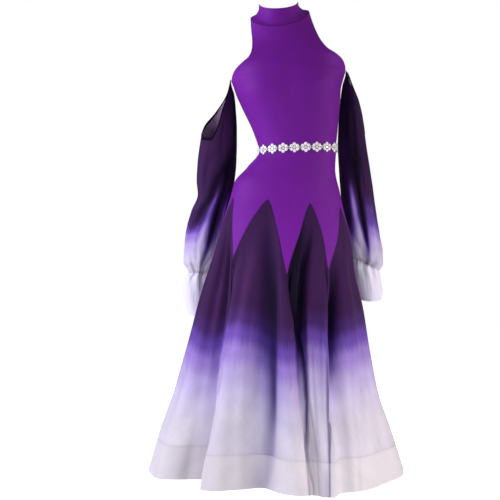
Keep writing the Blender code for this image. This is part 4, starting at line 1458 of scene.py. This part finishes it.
# %% Creases of the sleeves
# width, depth (- is a ridge) and a path of (angle, height), all but the angles in millimetres
SLEEVE_CREASES = {
    "left": path_rows(
        Crease,
        (9, 4, (60, -459), (102, -576)), (7, -3.5, (79, -500), (87, -576), (96, -694)),
        (7, 3.5, (50, -540), (66, -606), (81, -697)),
        (8, -3.5, (30, -555), (50, -620), (54, -670)),
        (9, 2.5, (96, -400), (118, -470), (128, -560)),
        (8, -2.5, (120, -372), (132, -452), (126, -540)),
        (8, 3, (150, -372), (158, -480), (140, -600), (118, -708)),
        (7, -3, (168, -500), (160, -610), (134, -716)),
        (7, 2.2, (20, -225), (30, -300), (34, -380)), (6, -2, (44, -262), (52, -330), (50, -410)),
        (6, 2.2, (72, -300), (78, -372), (72, -440)), (8, 2.6, (10, -400), (22, -480), (30, -560)),
        (9, 2.8, (186, -420), (190, -520), (184, -640)),
        (8, -2.6, (205, -380), (216, -480), (222, -600)),
        (9, 2.8, (228, -330), (240, -440), (246, -560)),
        (8, -2.4, (250, -300), (262, -400), (268, -500)),
        (9, 3, (275, -290), (286, -400), (292, -520)),
        (8, -2.4, (300, -260), (312, -380), (318, -500)),
        (8, 2.6, (335, -250), (340, -360), (348, -480)),
        (8, 3.2, (262, -560), (250, -640), (240, -720)),
        (8, 3.2, (300, -540), (292, -640), (282, -720)),
        (7, -3, (330, -560), (322, -650), (312, -720)), (8, 3, (352, -560), (6, -640), (16, -716)),
        (7, -1.5, (210, -620), (206, -680), (198, -730)),
        (4.5, 1.5, (112, -640), (106, -700), (98, -752)),
        (4, 1.6, (70, -690), (76, -725), (84, -755)), (4, 1.5, (40, -680), (56, -720), (70, -754)),
        (4, 1.5, (130, -690), (122, -725), (112, -755)),
        (3.2, -1.2, (88, -712), (90, -735), (92, -758)),
        (4, 1.3, (150, -705), (142, -730), (134, -756)),
    ),
    "right": path_rows(
        Crease,
        (8, -4, (60, -460), (62, -550), (70, -635)), (8, 4, (80, -489), (91, -575), (90, -680)),
        (8, -3.2, (125, -545), (128, -633)), (8, 2.6, (104, -380), (108, -470), (106, -560)),
        (8, 2.4, (40, -300), (46, -400), (44, -500)),
        (7, -2.4, (66, -240), (72, -330), (70, -420)),
        (7, 2.4, (92, -260), (96, -350), (92, -440)),
        (8, 2.6, (120, -280), (128, -380), (134, -500)),
        (8, -2.4, (148, -340), (154, -440), (152, -560)),
        (8, 3.4, (20, -520), (34, -600), (52, -680)), (8, 2.4, (10, -380), (16, -470), (22, -560)),
        (5, 1.6, (112, -600), (106, -660), (98, -712)),
        (5, 1.6, (140, -620), (130, -680), (118, -716)),
        (4, -1.3, (76, -650), (82, -685), (88, -714)),
        (4, 1.5, (54, -650), (66, -688), (78, -714)),
        (4.5, -1.3, (36, -640), (50, -684), (64, -712)),
        (4.5, 1.4, (160, -640), (150, -684), (136, -714)),
        (9, 2.8, (172, -420), (174, -520), (170, -640)),
        (8, -2.6, (196, -400), (204, -500), (208, -620)),
        (9, 2.8, (222, -320), (232, -430), (238, -560)),
        (8, -2.4, (248, -280), (260, -390), (266, -500)),
        (9, 3, (275, -270), (284, -390), (290, -520)),
        (8, -2.4, (306, -240), (314, -360), (320, -480)),
        (8, 2.6, (338, -230), (342, -350), (346, -470)),
        (8, 3.2, (256, -560), (246, -630), (236, -690)),
        (8, 3.2, (292, -540), (286, -620), (278, -690)),
        (7, -3, (324, -540), (316, -620), (306, -690)), (8, 3, (354, -560), (4, -630), (14, -695)),
        (6, -1.3, (206, -620), (202, -660), (196, -700)),
    ),
}
print("creases of a sleeve:", {side: len(table) for side, table in SLEEVE_CREASES.items()})

# %% Creases of the cuffs
CUFF_CREASES = {
    "left": path_rows(
        Crease,
        (4, 0.8, (62, -770), (58, -810), (52, -868)),
        (4, -0.8, (80, -770), (80, -815), (76, -872)),
        (4, 0.8, (94, -770), (98, -820), (98, -878)),
        (4, -0.8, (110, -772), (116, -815), (120, -866)),
        (4.5, 0.8, (128, -772), (136, -812), (142, -862)),
        (4.5, 0.7, (156, -774), (164, -815), (168, -866)),
        (4.5, 0.7, (36, -772), (28, -812), (22, -862)),
        (4.5, 0.8, (200, -774), (206, -820), (208, -870)),
        (4.5, -0.8, (228, -772), (234, -818), (236, -868)),
        (4.5, 0.8, (256, -772), (258, -818), (258, -872)),
        (4.5, -0.8, (282, -772), (282, -816), (284, -870)),
        (4.5, 0.8, (308, -772), (304, -816), (302, -866)),
        (4.5, 0.8, (338, -772), (332, -812), (330, -862)),
    ),
    "right": path_rows(
        Crease,
        (4, 0.8, (58, -728), (52, -768), (46, -824)), (4, 0.7, (76, -728), (74, -772), (70, -832)),
        (3.6, -1, (92, -728), (94, -776), (94, -836)),
        (4, 0.8, (106, -728), (110, -772), (112, -832)),
        (4, -0.7, (124, -730), (130, -772), (134, -826)),
        (4.5, 0.8, (146, -730), (152, -772), (156, -822)),
        (4.5, -0.7, (34, -728), (28, -768), (24, -818)),
        (4.5, 0.7, (184, -732), (188, -772), (190, -824)),
        (4.5, -0.7, (214, -730), (218, -772), (220, -824)),
        (4.5, 0.8, (244, -730), (246, -774), (248, -828)),
        (4.5, -0.8, (274, -730), (274, -774), (274, -830)),
        (4.5, 0.8, (304, -730), (302, -772), (300, -826)),
        (4.5, 0.7, (334, -730), (328, -770), (326, -820)),
    ),
}
print("creases of a cuff:", {side: len(table) for side, table in CUFF_CREASES.items()})

# %% [markdown]
# The sleeves have painted streaks too: painted shade and highlights along their folds, and dye
# shifts that show uneven dyeing and also paint lit and shaded folds. Their streaks are narrower
# than those of the skirt.

# %% Streaks of the sleeves
# width, painted shade (- is a painted highlight), dye and a path of (angle, height), all but shades
# and angles in millimetres
SLEEVE_STREAKS = {
    "left": path_rows(
        Streak,
        (12, 0.85, -36, (50, -380), (62, -443), (86, -488), (103, -525), (115, -563), (125, -607),
         (140, -660)),
        (9, -0.2, 44, (74, -400), (80, -490), (85, -560), (87, -590), (92, -630), (96, -668),
         (94, -720)),
        (8, 1, -66, (40, -370), (48, -430), (58, -490), (69, -549), (67, -594), (70, -647),
         (75, -687), (84, -730), (90, -800)),
        (3.6, 0, 62, (38, -480), (41, -550), (44, -590), (47, -620), (50, -665), (50, -715)),
        (11, -0.3, -34, (52, -630), (56, -690), (62, -770)),
        (17, 0.95, 0, (12, -190), (22, -300), (26, -400), (24, -480), (18, -580)),
        (16, 0, -18, (150, -560), (140, -610), (135, -650)),
        (13, 0.8, -40, (330, -330), (322, -450), (316, -560), (306, -680)),
        (11, 0, 55, (300, -420), (292, -520), (288, -620), (280, -710)),
        (12, 0.7, -35, (262, -350), (262, -470), (256, -580), (246, -690)),
        (12, 0, 40, (226, -440), (222, -540), (216, -640), (206, -710)),
        (10, 0.5, -25, (192, -440), (188, -540), (180, -640)),
    ),
    "right": path_rows(
        Streak,
        (34, 0.85, 0, (66, -160), (76, -260), (84, -360), (84, -440), (84, -540)),
        (9, -0.35, 70, (58, -400), (62, -480), (68, -548), (69, -593), (72, -640), (73, -680),
         (70, -760)),
        (8, 1, -75, (104, -360), (92, -480), (91, -547), (91, -593), (95, -638), (94, -680),
         (90, -716), (88, -780)),
        (10, 0.8, -20, (12, -300), (22, -440), (34, -560), (42, -650), (48, -700)),
        (22, 0, 26, (118, -520), (118, -590), (120, -650), (120, -700)),
        (13, 0.8, -40, (330, -320), (324, -440), (318, -550), (308, -660)),
        (11, 0, 60, (298, -400), (292, -500), (288, -600), (280, -690)),
        (12, 0.7, -40, (266, -340), (264, -460), (258, -570), (248, -670)),
        (12, 0, 45, (228, -430), (224, -530), (218, -620), (208, -690)),
        (10, 0.6, -25, (190, -400), (186, -520), (180, -620)),
    ),
}
# how much higher the whole sleeve turns pale, by height (metres)
SLEEVE_DIP = smooth_curve((-0.76, -0.70, -0.653, -0.607, -0.565, -0.50, -0.40),
                          (-0.008, -0.003, -0.022, -0.031, 0.001, 0.020, 0.0))
print("streaks of a sleeve:", {side: len(table) for side, table in SLEEVE_STREAKS.items()})

# %% Elastic at the wrist
TUCKS = 26                 # tiny tucks where the elastic grips
TUCK_DEPTH = 0.0008
TUCK_REACH = 0.016
# The knots are the deepest folds at the elastic; the painted shade is darkest there.
KNOTS = {"left": (92, 64, 205, 300), "right": (58, 84, 112, 215, 310)}    # deepest folds, degrees
KNOT_WIDTH = 8.0           # degrees
KNOT_REACH = 0.009
GRIP_REACH = 0.005


def tucked(angle, height, wrist):
    """Tiny uneven tucks that spread a short way from the elastic."""
    turn = np.radians(angle)
    wave = np.sin(TUCKS * turn + 1.4 * np.sin(3 * turn) + 0.8 * np.sin(7 * turn))
    return TUCK_DEPTH * wave * bump(height - wrist, TUCK_REACH)


def gather_shade(side, angle, height, wrist):
    """Painted shade: a dark uneven line where the cloth folds in at the elastic, darkest at the
    knots.
    """
    turn = np.radians(angle)
    grip = 0.28 + 0.22 * np.sin(9 * turn + 2.0 * np.sin(2 * turn))
    knots = sum(bump(wrapped(angle - knot), KNOT_WIDTH) for knot in KNOTS[side])
    return np.clip(grip * bump(height - wrist, GRIP_REACH)
                   + 0.8 * knots * bump(height - wrist, KNOT_REACH), 0.0, 1.0)


print("tucks round an elastic:", TUCKS)

# %% Pieces of a sleeve
SLEEVE_COLUMNS, SLEEVE_ROWS = 144, 150
CUFF_COLUMNS, CUFF_ROWS = 168, 44
BINDING_COLUMNS, BINDING_ROWS = 192, 10
SLEEVE_GAP = 0.0009        # height between binding and sleeve, because their seam runs steeply
SLEEVE_START = 0.02        # height over which the creases begin below the binding
BINDING_WALL = 0.0018
BINDING_ROUND = 0.0005     # how far the folded strip bulges
BINDING_GROOVE = 0.0003
BINDING_GROOVE_WIDTH = 0.0006
BINDING_STITCH = 0.0068    # distance of the binding's stitches from its upper edge
CUFF_ROLL = 0.007
TUBE_GIRTH = even_girth(0.31)


def tube_piece(name, tube, angle, height, relief, wall, finishes, **marks):
    """A closed ring of cloth on a sleeve's surface."""
    return cloth(name, tube.point(angle, height), tube.normal(angle, height), relief, wall,
                 finishes, closed=True, **marks)


def make_binding(side, tube, cut):
    """The folded strip along the slanted top."""
    turn = full_turn(BINDING_COLUMNS)
    drop = downward(BINDING_ROWS) * BINDING_WIDTH
    angle, height = np.broadcast_arrays(turn, cut(turn) * MM - drop)
    relief = (BINDING_ROUND * np.sin(np.pi * drop / BINDING_WIDTH)
              - BINDING_GROOVE * bump(drop - BINDING_STITCH, BINDING_GROOVE_WIDTH))
    return tube_piece(f"sleeve_binding_{side}_tape", tube, angle, height,
                      np.broadcast_to(relief, angle.shape), BINDING_WALL, (FINISH["binding"],))


def make_sleeve(side, tube, cut, wrist):
    """The wide tube from the binding to the elastic."""
    turn = full_turn(SLEEVE_COLUMNS)
    top = cut(turn) * MM - BINDING_WIDTH - SLEEVE_GAP
    height = top + (wrist - top) * downward(SLEEVE_ROWS)
    angle = np.broadcast_to(turn, height.shape)
    relief = along_creases(SLEEVE_CREASES[side], angle, height, TUBE_GIRTH)
    relief = relief * ease((top - height) / SLEEVE_START) + tucked(angle, height, wrist)
    # painted shade and highlights along the folds, and dye shifts that also paint lit and shaded
    # folds
    shade, dye = streaked(SLEEVE_STREAKS[side], angle, height, TUBE_GIRTH)
    return tube_piece(f"sleeve_{side}_cloth", tube, angle, height, relief, CHIFFON_WALL,
                      (FINISH["sleeve"], FINISH["sleeve inside painted light"]),
                      seam=gather_shade(side, angle, height, wrist),
                      hollow=np.clip(shade, -0.3, 1.0), dip=dye + SLEEVE_DIP(height))


def make_cuff(side, tube, wrist, foot):
    """The ruffle below the elastic."""
    turn = full_turn(CUFF_COLUMNS)
    ends = foot - CUFF_HEM_SAG * np.abs(np.sin(np.radians(turn)))
    height = wrist + (ends - wrist) * downward(CUFF_ROWS)
    angle = np.broadcast_to(turn, height.shape)
    relief = (along_creases(CUFF_CREASES[side], angle, height, TUBE_GIRTH)
              + tucked(angle, height, wrist) + turned_edge(height - ends, CUFF_ROLL))
    # painted shade in the gathers at the elastic, and the dark line of the hem's stitches
    seam = np.maximum(gather_shade(side, angle, height, wrist),
                      0.5 * bump(height - ends - CUFF_ROLL, STITCH_LINE))
    return tube_piece(f"cuff_{side}_cloth", tube, angle, height, relief, CHIFFON_WALL,
                      (FINISH["cuff"],), seam=seam)


print("girth of a sleeve for its creases:", float(TUBE_GIRTH(0.0)), "m")

# %% Sleeves
for side, (tube, wrist, foot, cut) in SLEEVES.items():
    binding = make_binding(side, tube, cut)
    hand_over(binding, f"sleeve_binding_{side}")
    sleeve = make_sleeve(side, tube, cut, wrist)
    hand_over(sleeve, f"sleeve_{side}")
    cuff = make_cuff(side, tube, wrist, foot)
    hand_over(cuff, f"cuff_{side}")

# %% [markdown]
# ## Belt
# The belt is a chain of little flowers. One flower is six rounded petals about a stone, and a pair
# of crossed loops links it to the next. We model one flower and one link, and set a copy of each at
# even steps round the waist.

# %% One flower
PETALS = 6
PETAL_RADIUS = 0.0049
PETAL_REACH = 0.0097       # from the middle of the flower to the middle of a petal
PETAL_SCALE = (1.0, 1.0, 0.42)
STONE_RADIUS = 0.0041
STONE_DEPTH = 0.0022
STONE_BEVEL = 0.0009


def join(parts):
    """Joins these parts into one object."""
    bpy.ops.object.select_all(action="DESELECT")
    for part in parts:
        part.select_set(True)
    bpy.context.view_layer.objects.active = parts[0]
    bpy.ops.object.join()
    return bpy.context.object


petals = []
for i in range(PETALS):
    turn = math.radians(360.0 / PETALS * (i + 0.5))
    petals.append(model_of(
        bpy.ops.mesh.primitive_uv_sphere_add, PETAL_SCALE, segments=16, ring_count=8,
        radius=PETAL_RADIUS,
        location=(PETAL_REACH * math.cos(turn), PETAL_REACH * math.sin(turn), 0.0)))
flower = join(petals)

bpy.ops.mesh.primitive_cylinder_add(vertices=8, radius=STONE_RADIUS, depth=STONE_DEPTH)
stone = bpy.context.object
bpy.ops.object.mode_set(mode="EDIT")
bpy.ops.mesh.select_all(action="SELECT")
bpy.ops.mesh.bevel(offset=STONE_BEVEL, segments=1)
bpy.ops.object.mode_set(mode="OBJECT")
print("one flower has", len(flower.data.polygons), "faces")

# %% One link
LINK_LENGTH = 0.0088
LINK_WIDTH = 0.45          # share of its length
LINK_TILT = math.radians(38.0)
LINK_THICK = 0.0009
LOOP_TUBE = 0.11           # radius of the loop's bar before it is scaled

link = join([model_of(
    bpy.ops.mesh.primitive_torus_add,
    (LINK_LENGTH, LINK_LENGTH * LINK_WIDTH, LINK_THICK / LOOP_TUBE), tilt, major_segments=20,
    minor_segments=6, major_radius=0.5, minor_radius=LOOP_TUBE)
    for tilt in (LINK_TILT, -LINK_TILT)])
print("one link has", len(link.data.polygons), "faces")

# %% The chain
BELT_LIFT = 0.0034         # from the middle of the jersey to the middle of a flower
WAIST_POINTS = 721

fine_waist = np.linspace(0.0, 360.0, WAIST_POINTS)
waist_steps = np.linalg.norm(np.diff(dress_point(fine_waist, WAIST), axis=0), axis=-1)
waist_lengths = np.concatenate([[0.0], np.cumsum(waist_steps)])
waist_girth = float(waist_lengths[-1])
pitch = waist_girth / FLOWERS


def waist_frames(first):
    """Frames a pitch apart on the waist. first is the arc from the centre front to the first."""
    frames = []
    for i in range(FLOWERS):
        arc = (first + pitch * i) % waist_girth
        angle = float(np.interp(arc, waist_lengths, fine_waist))
        along = dress_point(angle + 0.5, WAIST) - dress_point(angle - 0.5, WAIST)
        frames.append(frame_on(dress_point(angle, WAIST), along, dress_normal(angle, WAIST),
                               BELT_LIFT))
    return frames


flower_frames = waist_frames(FLOWER_PHASE)
link_frames = waist_frames(FLOWER_PHASE + pitch / 2)
belt_flowers = copies_of(flower, flower_frames, "belt_flowers", FINISH["pearl"])
belt_stones = copies_of(stone, flower_frames, "belt_stones", FINISH["silver"])
belt_links = copies_of(link, link_frames, "belt_links", FINISH["silver"])
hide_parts("flower_belt")
for piece in (belt_flowers, belt_stones, belt_links):
    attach(piece, "root")
for model in (stitch, flower, stone, link):
    bpy.data.objects.remove(model, do_unlink=True)
print("flowers:", len(flower_frames), "pitch", round(pitch * 1000, 1), "mm")

# %% [markdown]
# ## Update the scene
# The finished dress should fill the same space as the plain model.

# %% Update the scene
bpy.context.view_layer.update()
